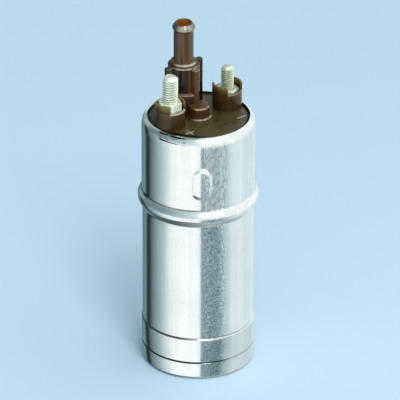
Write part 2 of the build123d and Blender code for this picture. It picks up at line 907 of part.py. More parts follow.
def outlet_pillar():
    """The outlet's pillar: a round post with three fins and a low shelf between two."""
    low = disc_ledge
    shaft = rod(pillar_radius, low, pillar_top)
    half = fin_width / 2
    side_fin = Pos(0, 0, low) * extrude(
        Rectangle(2 * fin_reach, 2 * half), pillar_top - low
    )
    centre_fin = Pos(0, -fin_reach / 2, low) * extrude(
        Rectangle(2 * half, fin_reach), pillar_top - low
    )
    shelf = Pos(0, 0, low) * extrude(
        sector(shelf_reach, 180, 90), disc_face + shelf_height - low
    )
    return shaft + side_fin + centre_fin + shelf


def make_cover():
    curl_gap = curl_radius - can_sheet - slip
    curl_middle = upper_radius - curl_radius
    ledge_turn = math.asin((disc_ledge - curl_centre) / curl_gap)
    edge = Vector(curl_middle, curl_centre)

    def on_edge(angle):
        return edge + Vector(math.cos(angle), math.sin(angle)) * curl_gap

    outline = Polyline(
        on_edge(ledge_turn),
        (face_radius + edge_draft, disc_ledge),
        (face_radius, disc_face),
        (0, disc_face),
        (0, disc_under - hub_depth),
        (hub_radius, disc_under - hub_depth),
        (hub_radius, disc_under),
        (skirt_bore - holder_step, disc_under),
        (skirt_bore - holder_step, holder_top),
        (skirt_bore, holder_top),
        (skirt_bore, flux_top),
        (seal_seat, flux_top),
        (seal_seat, bead_height + seal_shoulder),
        (cover_radius, bead_height + seal_shoulder + seal_land),
        on_edge(0),
    )
    rim = ThreePointArc(on_edge(0), on_edge(ledge_turn / 2), on_edge(ledge_turn))
    cover = revolve(Plane.XZ * make_face(Curve() + [outline, rim]), Axis.Z)

    boss = rod(boss_radius, disc_ledge, boss_top)
    boss = chamfer(boss.edges().group_by(Axis.Z)[-1], boss_chamfer)
    cover += boss + rod(boss_radius + boss_foot_rim, disc_ledge, disc_face + boss_foot_height)
    outlet = layout(0, outlet_offset)
    cover += outlet * outlet_pillar()
    seal = stud_seal_section + 2 * slip
    for _, place, radius in terminals():
        cover += place * shroud()
        cover -= place * rod(radius + slip, disc_under, collar_low)
        cover -= place * rod(radius + seal, collar_low - seal, collar_low)
        cover -= place * rod(shroud_radius - shroud_wall, collar_low, shroud_top)

    cover -= rod(bush_radius + slip, disc_under - hub_depth, disc_under + upper_bush_rise + slip)
    cover -= rod(shaft_radius + pocket_clearance, disc_under, boss_top - boss_roof)

    cone_top = seat_low + valve_chamber - valve_passage
    return cover - outlet * turned(
        (0, disc_under),
        (valve_passage, disc_under),
        (valve_passage, seat_low),
        (valve_chamber, cone_top),
        (valve_chamber, pillar_top),
        (0, pillar_top),
    )


# Check valve and nozzle

def valve_heights():
    """Heights of the valve's shoulder, its spring's far end and the nozzle's foot."""
    head_radius = valve_chamber - valve_head_inset
    cone_foot = seat_low + (head_radius - valve_passage) - valve_gap * math.sqrt(2)
    shoulder = cone_foot + valve_gap * 2 * math.sqrt(2) + valve_head
    guide_low = shoulder + valve_spring_length
    return head_radius, shoulder, guide_low, guide_low + guide_height


def make_check_valve():
    head_radius, shoulder, guide_low, guide_end = valve_heights()
    rim_low = shoulder - valve_head
    tip = rim_low - (head_radius - valve_tip)
    stem_end = guide_end + stem_overrun
    body = turned(
        (0, tip),
        (valve_tip, tip),
        (head_radius, rim_low),
        (head_radius, shoulder),
        (valve_stem, shoulder),
        (valve_stem, stem_end),
        (0, stem_end),
    )
    return layout(0, outlet_offset) * body


def make_check_valve_spring():
    _, shoulder, guide_low, _ = valve_heights()
    spring = coil_spring(valve_stem + valve_spring_gap, spring_wire, shoulder, guide_low, 4)
    return layout(0, outlet_offset) * spring


def make_valve_guide():
    _, _, low, top = valve_heights()
    section = Circle(nozzle_plug) - Circle(nozzle_plug - guide_rim)
    section += Circle(guide_hub)
    reach = nozzle_plug - guide_rim / 2
    for turn in (0, 120, 240):
        section += Rot(0, 0, turn) * Pos(reach / 2, 0) * Rectangle(reach, guide_spoke)
    section -= Circle(valve_stem + stem_play)
    return layout(0, outlet_offset, low) * extrude(section, top - low)


def make_outlet_nozzle():
    _, _, _, low = valve_heights()
    flared = nozzle_plug - guide_rim
    stem_room = low + stem_overrun + 2 * valve_travel
    barb_top = nozzle_top - barb_nose
    collar = nozzle_radius + nozzle_collar_rim
    nozzle = turned(
        (flared, low),
        (nozzle_plug, low),
        (nozzle_plug, pillar_top),
        (collar + collar_draft, pillar_top),
        (collar, pillar_top + nozzle_collar),
        (nozzle_radius, pillar_top + nozzle_collar + collar_draft),
        (nozzle_radius, barb_top - barb_land - barb_taper),
        (barb_radius, barb_top - barb_land),
        (barb_radius, barb_top),
        (barb_nose_radius, nozzle_top),
        (nozzle_bore, nozzle_top),
        (nozzle_bore, stem_room + flared - nozzle_bore),
        (flared, stem_room),
    )
    return layout(0, outlet_offset) * nozzle


PIECES = {
    "can": make_can,
    "base_cup": make_base_cup,
    "cover_seal": make_cover_seal,
    "connection_cover": make_cover,
    "outlet_nozzle": make_outlet_nozzle,
    "check_valve": make_check_valve,
    "check_valve_spring": make_check_valve_spring,
    "valve_guide": make_valve_guide,
    "stud_plus": lambda: make_stud(
        -terminal_offset, plus_radius, plus_collar_height, plus_height
    ),
    "stud_minus": lambda: make_stud(
        terminal_offset, minus_radius, minus_collar_height, minus_height
    ),
    "collar_plus": lambda: make_collar(
        -terminal_offset, plus_radius, plus_collar_height, plus_collar_turn
    ),
    "collar_minus": lambda: make_collar(
        terminal_offset, minus_radius, minus_collar_height, minus_collar_turn
    ),
    "stud_seals": make_stud_seals,
    "upper_bush": make_upper_bush,
    "lower_bush": make_lower_bush,
    "shaft": make_shaft,
    "flux_ring": make_flux_ring,
    "magnet_north": lambda: make_magnet(90),
    "magnet_south": lambda: make_magnet(270),
    "magnet_clips": make_magnet_clips,
    "armature_core": make_armature_core,
    "armature_windings": make_windings,
    "commutator_hub": make_commutator_hub,
    "commutator_segments": make_commutator_segments,
    "thrust_washers": make_thrust_washers,
    "brush_holder": make_brush_holder,
    "brush_plus": lambda: make_brush(-1),
    "brush_minus": lambda: make_brush(1),
    "brush_spring_plus": lambda: make_brush_spring(-1),
    "brush_spring_minus": lambda: make_brush_spring(1),
    "brush_lead_plus": lambda: make_brush_lead(-1),
    "brush_lead_minus": lambda: make_brush_lead(1),
    "choke_cores": make_choke_cores,
    "choke_windings": make_choke_windings,
    "inlet_cover": make_inlet_cover,
    "pump_ring": make_pump_ring,
    "outlet_plate": make_outlet_plate,
    "plate_seal": make_plate_seal,
    "inner_rotor": make_inner_rotor,
    "outer_rotor": make_outer_rotor,
    "pump_screws": make_pump_screws,
    "relief_ball": make_relief_ball,
    "relief_spring": make_relief_spring,
    "relief_sleeve": make_relief_sleeve,
}

os.makedirs("parts", exist_ok=True)
for name, make in PIECES.items():
    piece = make()
    if isinstance(piece, list):
        piece = Compound(children=piece)
    export_step(piece, f"parts/{name}.step")
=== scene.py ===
"""An electric fuel pump: a bright drawn can with a brown moulded cover, two threaded
terminals and a barbed outlet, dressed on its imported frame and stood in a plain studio.

All lengths are in metres, in the frame's own axes: +Z up the motor shaft, the raised pad
towards -Y."""

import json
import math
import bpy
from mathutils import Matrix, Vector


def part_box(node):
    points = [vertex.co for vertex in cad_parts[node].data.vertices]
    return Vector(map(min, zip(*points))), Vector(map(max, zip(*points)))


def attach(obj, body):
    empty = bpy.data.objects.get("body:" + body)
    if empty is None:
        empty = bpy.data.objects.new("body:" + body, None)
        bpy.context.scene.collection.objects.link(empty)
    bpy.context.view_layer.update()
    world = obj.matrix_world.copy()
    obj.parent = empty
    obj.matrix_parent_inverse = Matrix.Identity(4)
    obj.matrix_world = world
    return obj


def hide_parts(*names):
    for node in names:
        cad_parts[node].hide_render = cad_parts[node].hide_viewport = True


bl_info = {
    "name": "Fuel pump",
    "version": (1, 0, 0),
    "blender": (4, 5, 0),
    "location": "3D View > Sidebar > Fuel pump",
    "description": "Models and finishes an electric fuel pump on its packed frame",
    "category": "Object",
}

import bmesh
import bpy
from bpy.props import FloatProperty, FloatVectorProperty, PointerProperty
from mathutils import Matrix, Vector

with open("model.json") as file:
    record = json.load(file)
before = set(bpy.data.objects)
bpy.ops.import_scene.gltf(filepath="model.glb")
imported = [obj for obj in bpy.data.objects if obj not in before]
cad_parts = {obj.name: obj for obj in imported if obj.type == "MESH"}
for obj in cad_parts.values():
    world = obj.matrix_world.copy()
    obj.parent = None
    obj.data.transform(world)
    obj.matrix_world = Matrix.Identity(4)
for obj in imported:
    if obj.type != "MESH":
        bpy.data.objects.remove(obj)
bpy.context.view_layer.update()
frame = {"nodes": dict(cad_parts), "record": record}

MM = 0.001
FULL_TURN = 2 * math.pi
MERGE_DISTANCE = 0.002 * MM
SMOOTH_ANGLE = math.radians(32)
ROW = 0.5 * MM              # height of the can's rows of faces above its bead
LAYOUT_TURN = math.radians(37.5)    # from +X to the line through the two terminals
SIGN_PLACES = {"sign_plus": (-3.3 * MM, -14.2 * MM), "sign_minus": (16.2 * MM, -1.2 * MM)}
SIDES = ((-1, "plus"), (1, "minus"))    # the terminals, along their line

# The cover where it is hidden: its skirt, its hub round the upper bush and its bores
SEAL_LAND = 0.9 * MM        # the skirt is this much smaller inside the can's bead
SEAL_WALL = 1.7 * MM        # skirt's wall there
SEAL_SHOULDER = 3.6 * MM    # top of that land above the bead's middle
SKIRT_FOOT = 66.0 * MM      # height of the skirt's lower end
HOLDER_TOP = 83.18 * MM     # height of the shoulder over the brush holder
HOLDER_STEP = 0.6 * MM
CURL_PLAY = 0.05 * MM       # between the disc's edge and the can's curl
HUB_RADIUS = 4.8 * MM
HUB_DEPTH = 2.6 * MM        # below the disc
BUSH_BORE = 3.98 * MM
BUSH_POCKET = 3.35 * MM     # end of the bush's pocket above the disc's underside
SHAFT_BORE = 2.8 * MM
SHAFT_ROOF = 0.4 * MM       # end of the shaft's bore under the disc's face
VALVE_PASSAGE = 2.4 * MM
VALVE_CHAMBER = 4.5 * MM
VALVE_SEAT = 3.4 * MM       # above the disc's face
STUD_HOLE = 3.05 * MM       # in the disc
POST_BORE = 3.2 * MM        # in the shrouds' posts

# A metric thread's section, in shares of its pitch
THREAD_DEPTH = 0.6134
THREAD_CREST = 0.13
THREAD_ROOT = 0.25

# Fixed tones, beside those that Finishes holds
# Painted shade in the hollows and painted glints on the crests of the can's mottle
SHEET_HOLLOW_SHADE = (0.12, 0.17, 0.20)
SHEET_GLINTS = (0.99, 1.0, 1.0)
SHEET_SCUFFS = (0.02, 0.03, 0.03)
# Painted shade for the creases of the can and the cup's top edge
SHEET_CREASE_SHADE = (0.03, 0.05, 0.05)
CUP_SHADE = (0.08, 0.14, 0.17)
BLACK = (0, 0, 0)
JOINT_SHADE = (0.004, 0.004, 0.004)
BOSS_SIDE_SHADE = (0.036, 0.009, 0.002)
FIN_HIGHLIGHT_OLIVE = (0.085, 0.066, 0.020)
MOULDING_DUST = (0.20, 0.15, 0.07)
NOZZLE_DUST = (0.30, 0.18, 0.08)
NOZZLE_RINGS = (0.01, 0.006, 0.004)
ZINC_SHADED = (0.50, 0.54, 0.36)
ZINC_ROOT_SHADE = (0.24, 0.30, 0.17)

# Light round the pump, by degrees round it from the front: below and above eye level
SKY_LOW = (
    (-180, (0.14, 0.23, 0.34)),
    (-139, (0.18, 0.28, 0.30)),
    (-130, (0.02, 0.04, 0.05)),
    (-120, (0.03, 0.05, 0.06)),
    (-112, (0.134, 0.19, 0.21)),
    (-94, (0.31, 0.43, 0.45)),
    (-77, (0.56, 0.68, 0.70)),
    (-65, (0.85, 0.96, 0.93)),
    (-50, (1.15, 1.20, 1.16)),
    (-20, (1.20, 1.23, 1.20)),
    (3.5, (1.16, 1.20, 1.18)),
    (6, (0.28, 0.42, 0.44)),
    (34, (0.20, 0.31, 0.36)),
    (46, (0.22, 0.33, 0.38)),
    (56, (0.54, 0.70, 0.74)),
    (74, (0.83, 0.96, 0.98)),
    (92, (0.93, 1.01, 1.03)),
    (112, (0.82, 0.95, 0.98)),
    (165, (0.76, 0.92, 0.98)),
    (180, (0.14, 0.23, 0.34)),
)
SKY_HIGH = (
    (-180, (0.24, 0.32, 0.32)),
    (-160, (0.30, 0.38, 0.38)),
    (-142, (0.48, 0.57, 0.55)),
    (-116, (0.18, 0.25, 0.26)),
    (-70, (0.27, 0.36, 0.37)),
    (-35, (0.55, 0.70, 0.70)),
    (-6, (0.82, 0.96, 0.95)),
    (6, (1.12, 1.15, 1.13)),
    (140, (1.15, 1.17, 1.17)),
    (165, (0.90, 1.00, 1.05)),
    (180, (0.24, 0.32, 0.32)),
)
GROUND_LEFT, GROUND_RIGHT = (0.09, 0.12, 0.13), (0.46, 0.56, 0.58)
GLOW_BEHIND = (1.0, 1.05, 1.1)


# Sizes and colours

def length(label, text, size):
    """A length whose default is given in millimetres."""
    return FloatProperty(name=label, description=text, default=size * MM, unit="LENGTH")


def angle(label, text, degrees):
    """An angle whose default is given in degrees."""
    return FloatProperty(
        name=label, description=text, default=math.radians(degrees), unit="ROTATION"
    )


def share(label, text, size):
    """A share from 0 to 1."""
    return FloatProperty(
        name=label, description=text, default=size, min=0, max=1, subtype="FACTOR"
    )


def colour(label, text, value):
    """A colour, in the renderer's own linear values."""
    return FloatVectorProperty(
        name=label, description=text, default=value, min=0, max=1, size=3, subtype="COLOR"
    )


class CanSizes(bpy.types.PropertyGroup):
    radius: length("Radius", "Outside of the can below its bead", 21.5)
    upper_radius: length("Upper radius", "Outside of the can above its bead", 21.8)
    sheet: length("Sheet", "Thickness of the can's sheet", 0.9)
    foot: length("Foot", "Height of the can's lower end", 5.8)
    neck_depth: length("Neck depth", "How far the lower end is drawn in", 0.5)
    neck_taper: length("Neck taper", "Height of the slope above the neck", 0.4)
    neck_top: length("Neck top", "Height where the neck ends", 18.0)
    bead_height: length("Bead height", "Middle of the rolled bead", 70.2)
    bead_rise: length("Bead rise", "Crest of the bead proud of the can", 1.8)
    bead_arc: length("Bead arc", "Radius of the bead's section", 3.2)
    bead_fillet: length("Bead fillet", "Radius where the bead meets the can", 2.5)
    curl_radius: length("Curl radius", "Radius of the curled upper edge", 2.64)
    curl_start: length("Curl start", "Radius with which the curl begins", 8)
    curl_blend: angle("Curl blend", "Where the tighter radius takes over", 18)
    curl_angle: angle("Curl angle", "How far the upper edge is curled in", 74)
    top: length("Top", "Height of the curled edge", 103.9)


class PadSizes(bpy.types.PropertyGroup):
    width: length("Width", "Width of the raised pad", 7.2)
    length: length("Length", "Height of the raised pad", 12.4)
    rise: length("Rise", "How far the pad is pressed out", 0.7)
    flank: length("Flank", "Width of the pad's rounded flanks", 1.7)
    height: length("Height", "Middle of the pad above the base", 85.0)
    direction: angle("Direction", "Direction of the pad round the can", -87)


class CupSizes(bpy.types.PropertyGroup):
    radius: length("Radius", "Outside of the base cup", 21.85)
    sheet: length("Sheet", "Thickness of the cup's sheet", 0.8)
    top: length("Top", "Height of the cup's upper edge", 17.7)
    corner: length("Corner", "Radius of the cup's bottom corner", 1.5)
    lip: length("Lip", "How far the bottom edge is turned in", 2.25)
    crimp_height: length("Crimp height", "Height of the rolled crimp line", 7.35)
    crimp_depth: length("Crimp depth", "Depth of the crimp line", 0.34)
    crimp_width: length("Crimp width", "Half of the crimp line's width", 0.42)


class CoverSizes(bpy.types.PropertyGroup):
    radius: length("Radius", "Outside of the cover's skirt", 20.85)
    face_radius: length("Face radius", "Raised face of the disc", 18.7)
    face: length("Face", "Height of the disc's face", 103.3)
    step: length("Step", "Height of the face above its ledge", 0.7)
    thickness: length("Thickness", "Thickness of the disc", 4.5)
    edge: length("Edge", "Rounding of the moulding's edges", 0.3)
    boss_radius: length("Boss radius", "Radius of the middle boss", 4.1)
    boss_height: length("Boss height", "Height of the middle boss", 4.8)
    boss_foot: length("Boss foot", "Width of the ring round the boss", 0.9)
    terminal_offset: length("Terminal offset", "Terminals from the middle", 13.6)
    shroud_radius: length("Shroud radius", "Outside of a terminal's shroud", 5.75)
    shroud_wall: length("Shroud wall", "Thickness of a shroud's wall", 0.9)
    shroud_height: length("Shroud height", "Tall walls above the face", 10.1)
    shroud_low_rim: length("Shroud low rim", "Low walls above the face", 7.2)
    shroud_floor: length("Shroud floor", "Floor of the shroud above the face", 5.3)
    shroud_span: angle("Shroud span", "Span of each tall wall", 96)
    shroud_turn: angle("Shroud turn", "Tall walls from the terminals' line", 6)
    outlet_offset: length("Outlet offset", "Outlet from the middle", 9.5)
    pillar_radius: length("Pillar radius", "Radius of the outlet's pillar", 6.05)
    pillar_height: length("Pillar height", "Pillar above the face", 18.7)
    fin_reach: length("Fin reach", "Fins from the pillar's axis", 8.5)
    fin_width: length("Fin width", "Thickness of the fins", 2.3)
    shelf_reach: length("Shelf reach", "Shelf from the pillar's axis", 8.3)
    shelf_height: length("Shelf height", "Shelf above the face", 8.7)
    sign_height: length("Sign height", "Height of the raised plus and minus", 0.22)
    sign_size: length("Sign size", "Length of their strokes", 4.0)
    sign_stroke: length("Sign stroke", "Width of their strokes", 0.8)


class OutletSizes(bpy.types.PropertyGroup):
    radius: length("Radius", "Outside of the outlet's tube", 3.85)
    bore: length("Bore", "Bore of the outlet's tube", 2.5)
    height: length("Height", "Tube above the pillar", 17.2)
    plug: length("Plug", "Radius of the plug in the pillar", 4.45)
    barb_rise: length("Barb rise", "Barb proud of the tube", 0.43)
    nose_radius: length("Nose radius", "Radius of the tube's end", 3.3)
    nose_length: length("Nose length", "Length of the barb's taper", 1.4)
    barb_land: length("Barb land", "Straight part of the barb", 0.9)
    barb_taper: length("Barb taper", "Height of the barb's under side", 0.7)
    collar_rim: length("Collar rim", "Width of the step round the tube's root", 1.3)
    collar_height: length("Collar height", "Height of that step", 1.2)


class TerminalSizes(bpy.types.PropertyGroup):
    plus_radius: length("Plus radius", "Outside of the plus stud's thread", 3.0)
    plus_height: length("Plus height", "Plus stud above its collar", 10.7)
    plus_pitch: length("Plus pitch", "Pitch of the plus stud's thread", 1.0)
    minus_radius: length("Minus radius", "Outside of the minus stud's thread", 2.5)
    minus_height: length("Minus height", "Minus stud above its collar", 9.35)
    minus_pitch: length("Minus pitch", "Pitch of the minus stud's thread", 0.8)
    collar_flats: length("Collar flats", "Hex collars across their flats", 8.0)
    plus_collar: length("Plus collar", "Height of the plus stud's hex collar", 5.0)
    minus_collar: length("Minus collar", "Height of the minus stud's hex collar", 2.6)
    point: share("Point", "Chamfer of the studs' tips, to their radius", 0.4)
    head_radius: length("Head radius", "Studs' heads under the cover", 3.8)
    head_height: length("Head height", "Thickness of the studs' heads", 1.8)
    plus_turn: angle("Plus turn", "Turn of the plus collar", 4.5)
    minus_turn: angle("Minus turn", "Turn of the minus collar", 22.5)


class Finishes(bpy.types.PropertyGroup):
    can: colour("Can", "Bright tinned sheet", (0.80, 0.83, 0.84))
    moulding: colour("Moulding", "Brown moulded cover", (0.042, 0.020, 0.007))
    # Painted shade: the pillar, the same moulding made darker
    pillar: colour("Pillar", "The outlet's pillar, darker", (0.018, 0.009, 0.004))
    # Painted light: the boss and a fin's end, the same moulding made lighter
    boss: colour("Boss", "The middle boss and a fin, lighter", (0.076, 0.037, 0.009))
    # Painted highlights on the moulding's edges, the barb and the step; wear on the raised signs
    sheen_and_wear: colour("Worn", "The moulding's worn edges and raised signs", (0.44, 0.40, 0.31))
    disc: colour("Disc", "The cover's disc, greener", (0.061, 0.047, 0.015))
    # Painted glow where light would shine through the thin walls
    painted_wall_glow: colour("Thin walls", "The moulding where light shines through", (0.20, 0.13, 0.022))
    # Painted amber glow, where light would shine through the moulding
    painted_amber_glow: colour("Amber", "The moulding where it glows", (0.30, 0.10, 0.010))
    nozzle: colour("Nozzle", "Brown outlet tube", (0.076, 0.034, 0.008))
    zinc: colour("Zinc", "Zinc plating of the studs", (0.97, 1.0, 0.90))


class StudioSettings(bpy.types.PropertyGroup):
    distance: length("Distance", "Camera from the point it looks at", 2000)
    elevation: angle("Elevation", "Camera above the horizon", 28.12)
    roll: angle("Roll", "Camera turned about its own line of sight", 0.2)
    lens: FloatProperty(name="Lens", description="Focal length", default=469.5, unit="CAMERA")
    aim_height: length("Aim height", "Height of the point it looks at", 66.97)
    aim_side: length("Aim side", "That point to the right of the middle", 0.6)
    key_side: angle("Key side", "Key light, to the right of the camera", 18)
    key_rise: angle("Key rise", "Key light above the horizon", 52)
    key_distance: length("Key distance", "Key light from the pump", 1300)
    key_width: length("Key width", "Width of the key light", 350)
    key_length: length("Key length", "Height of the key light", 700)
    key_height: length("Key height", "Height of the point the key light looks at", 80)
    key_power: FloatProperty(
        name="Key power", description="Key light's power", default=8, unit="POWER"
    )
    floor: colour("Floor", "Plain pale floor", (0.52, 0.68, 0.83))
    floor_radius: length("Floor radius", "Reach of the floor", 6000)


SETTINGS = {
    "fuel_pump_can": CanSizes,
    "fuel_pump_pad": PadSizes,
    "fuel_pump_cup": CupSizes,
    "fuel_pump_cover": CoverSizes,
    "fuel_pump_outlet": OutletSizes,
    "fuel_pump_terminals": TerminalSizes,
    "fuel_pump_finishes": Finishes,
    "fuel_pump_studio": StudioSettings,
}


# Shader nodes

class Wire:
    """A node's output, which Python's own signs can add, scale and compare."""

    def __init__(self, graph, socket):
        self.graph = graph
        self.socket = socket

    def math(self, operation, *others):
        values = dict(enumerate((self, *others)))
        return self.graph.node("ShaderNodeMath", {"operation": operation}, values)

    def __add__(self, other):
        return self.math("ADD", other)

    def __radd__(self, other):
        return self.math("ADD", other)

    def __sub__(self, other):
        return self.math("SUBTRACT", other)

    def __rsub__(self, other):
        return self.graph.node(
            "ShaderNodeMath", {"operation": "SUBTRACT"}, {0: other, 1: self}
        )

    def __mul__(self, other):
        return self.math("MULTIPLY", other)

    def __rmul__(self, other):
        return self.math("MULTIPLY", other)

    def __truediv__(self, other):
        return self.math("DIVIDE", other)

    def __pow__(self, other):
        return self.math("POWER", other)

    def __gt__(self, other):
        return self.math("GREATER_THAN", other)

    def __lt__(self, other):
        return self.math("LESS_THAN", other)

    def __abs__(self):
        return self.math("ABSOLUTE")


class Graph:
    """The node tree of a material or of the world, emptied and built anew."""

    def __init__(self, owner):
        owner.use_nodes = True
        self.tree = owner.node_tree
        self.tree.nodes.clear()

    def node(self, kind, settings=None, values=None, output=0):
        """Adds a node, sets its settings, then its sockets' values or links."""
        made = self.tree.nodes.new(kind)
        for name, value in (settings or {}).items():
            if name == "stops":
                ramp = made.color_ramp.elements
                while len(ramp) < len(value):
                    ramp.new(1.0)
                for element, (position, tint) in zip(ramp, value):
                    element.position = position
                    element.color = (*tint, 1)
            else:
                setattr(made, name, value)
        for place, value in (values or {}).items():
            if isinstance(value, Wire):
                self.tree.links.new(value.socket, made.inputs[place])
            else:
                made.inputs[place].default_value = value
        return Wire(self, made.outputs[output]) if len(made.outputs) else made

    def position(self):
        return self.node("ShaderNodeTexCoord", output="Object")

    def axes(self, vector):
        split = self.node("ShaderNodeSeparateXYZ", {}, {0: vector})
        outputs = split.socket.node.outputs
        return [Wire(self, outputs[axis]) for axis in "XYZ"]

    def joined(self, x, y, z):
        return self.node("ShaderNodeCombineXYZ", {}, {0: x, 1: y, 2: z})

    def stretched(self, vector, scale):
        return self.node("ShaderNodeMapping", {}, {"Vector": vector, "Scale": scale})

    def noise(self, vector, scale, detail=2.0, roughness=0.5, distortion=0.0):
        return self.node(
            "ShaderNodeTexNoise",
            {},
            {
                "Vector": vector,
                "Scale": scale,
                "Detail": detail,
                "Roughness": roughness,
                "Distortion": distortion,
            },
        )

    def spread(self, value, low, high, to_low=0.0, to_high=1.0, smooth=False):
        """Maps low..high to to_low..to_high, and holds the ends."""
        kind = "SMOOTHSTEP" if smooth else "LINEAR"
        return self.node(
            "ShaderNodeMapRange",
            {"interpolation_type": kind},
            {
                "Value": value,
                "From Min": low,
                "From Max": high,
                "To Min": to_low,
                "To Max": to_high,
            },
        )

    def window(self, value, low, high, soft):
        """1 between low and high, fading out over soft on both sides."""
        return self.spread(value, low - soft, low) * self.spread(value, high, high + soft, 1, 0)

    def band(self, height, level, low, high, soft=0.05):
        """A window round a level; its ends and its softness are in millimetres."""
        return self.window(height, level + low * MM, level + high * MM, soft * MM)

    def ramp(self, value, stops):
        return self.node("ShaderNodeValToRGB", {"stops": stops}, {0: value})

    def mix(self, factor, first, second):
        def full(tint):
            return tint if isinstance(tint, Wire) else (*tuple(tint)[:3], 1)

        return self.node(
            "ShaderNodeMix",
            {"data_type": "RGBA"},
            {0: factor, 6: full(first), 7: full(second)},
            output=2,
        )

    def bump(self, height, distance, strength=1.0, normal=None):
        values = {"Height": height, "Distance": distance, "Strength": strength}
        if normal is not None:
            values["Normal"] = normal
        return self.node("ShaderNodeBump", {}, values)

    def surface(self, **values):
        """The closing shader, with its sockets' names written with underscores."""
        sockets = {name.replace("_", " "): value for name, value in values.items()}
        shader = self.node("ShaderNodeBsdfPrincipled", {}, sockets)
        self.node("ShaderNodeOutputMaterial", {}, {"Surface": shader})


MATERIALS = {}


def material(name):
    """Makes a finish once, from the function that FINISH_MAKERS names."""
    if name not in MATERIALS:
        made = bpy.data.materials.new(name)
        FINISH_MAKERS[name](Graph(made), bpy.context.scene.fuel_pump_finishes)
        MATERIALS[name] = made
    return MATERIALS[name]


def dimmed(tint, factor):
    return [channel * factor for channel in tint]


def dress(piece, name):
    """Gives a piece one finish all over."""
    piece.data.materials.clear()
    piece.data.materials.append(material(name))


def sheet_grain(graph, place, above_bead):
    """Fine mottle, pebbled below the bead and drawn out upwards above it."""
    drawn = graph.noise(graph.stretched(place, (1, 1, 0.4)), 1500, distortion=1.0)
    pebbled = graph.noise(place, 1500, detail=1, distortion=1.2)
    return graph.node(
        "ShaderNodeMix", {"data_type": "FLOAT"}, {0: above_bead, 2: pebbled, 3: drawn}
    )


def sheet_scuffs(graph, can, x, y, height):
    """Dark scuffs and two broken scratches on the front left of the curled edge."""
    round_can = graph.joined(x.math("ARCTAN2", y * -1) * can.radius, 0, height)
    streaks = graph.noise(graph.stretched(round_can, (0.13, 1, 1)), 1500, distortion=0.4)
    scuffs = graph.spread(streaks, 0.55, 0.6) * graph.band(height, can.top, -2.4, -0.1, 0.1)
    for middle, half, gaps in ((-2.5, 0.14, 0.42), (-0.4, 0.2, 0.46)):
        scratch = graph.band(height, can.top, middle - half, middle + half, 0.08)
        broken = scratch * graph.spread(streaks, gaps - 0.03, gaps + 0.03)
        scuffs = scuffs.math("MAXIMUM", broken)
    return scuffs * (graph.window(x, -14.5 * MM, -5.4 * MM, 0.8 * MM) * (y < 0))


def bright_sheet(graph, finishes):
    """Tinned steel sheet: smooth with soft upright bands, mottled with painted glints and shade on
    one side of the pad, with scuffs where the upper edge was curled in and painted shade along the
    creases."""
    can, cup = bpy.context.scene.fuel_pump_can, bpy.context.scene.fuel_pump_cup
    place = graph.position()
    x, y, height = graph.axes(place)
    front = y < 0
    above_bead = graph.spread(height, can.bead_height - 4.2 * MM, can.bead_height + 3.8 * MM)
    on_cup = height < cup.top + 0.05 * MM
    smooth = 0.07
    patch = graph.window(x, 3.4 * MM, 9.2 * MM, 2.2 * MM) * front * (1 - smooth) + smooth

    grain = sheet_grain(graph, place, above_bead)
    mottle = graph.spread(grain, 0.38, 0.62)
    grain = (grain - 0.5) * patch * graph.spread(above_bead, 0, 1, 1, 1.6) * (1 - on_cup * 0.5)
    lines = graph.noise(graph.stretched(place, (1, 1, 0.02)), 1500, detail=3, roughness=0.6)
    waves = graph.noise(graph.stretched(place, (1, 1, 0.3)), 120)
    smudges = graph.noise(place, 60, detail=4, roughness=0.6)
    bands = graph.noise(graph.stretched(place, (1, 1, 0.03)), 420)
    scuffs = sheet_scuffs(graph, can, x, y, height)

    # Painted shade in the crease over the bead, fading out to the right
    crease_shade = graph.band(height, can.bead_height + can.bead_arc, 0.1, 0.5, 0.3)
    crease_shade = crease_shade * graph.spread(x, -2 * MM, 6 * MM, 0.75, 0)
    # Painted shade in the crimp line, weaker on the right
    crimp = graph.band(height, cup.crimp_height, -0.36, 0.1, 0.08)
    crimp = crimp * graph.spread(x, 9 * MM, 13 * MM, 1, 0.45)
    # Painted shadow under the cup's top edge, on the front left
    edge = graph.band(height, cup.top, -0.45, 0.04, 0.1)
    edge = edge * graph.spread(x, -7 * MM, 1 * MM, 0.8, 0) * front

    tone = graph.mix(
        graph.spread(smudges + bands, 0.8, 1.2), finishes.can, dimmed(finishes.can, 0.91)
    )
    # Painted reflection in the front patch's mottle: painted shade in its hollows, painted glints
    # on its crests
    hollow_shade_level = graph.spread(above_bead, 0, 1, 0.42, 0.25)
    tone = graph.mix((1 - mottle) * patch * hollow_shade_level, tone, SHEET_HOLLOW_SHADE)
    tone = graph.mix(mottle * patch, tone, SHEET_GLINTS)
    tone = graph.mix(on_cup * graph.spread(x, 2 * MM, 6 * MM, 0, 0.17), tone, CUP_SHADE)
    tone = graph.mix(scuffs, tone, SHEET_SCUFFS)
    tone = graph.mix(crease_shade + crimp + edge, tone, SHEET_CREASE_SHADE)

    normal = graph.bump(grain, 0.075 * MM)
    normal = graph.bump(lines, 0.004 * MM, 0.5, normal)
    normal = graph.bump(waves, 0.06 * MM, 0.5, normal)
    rough = graph.spread(smudges + lines * 0.5, 0.5, 1.0, 0.07, 0.14) + scuffs * 0.4
    rough = rough + (patch - smooth) * above_bead * 0.22
    graph.surface(Base_Color=tone, Metallic=1.0, Roughness=rough, Normal=normal)


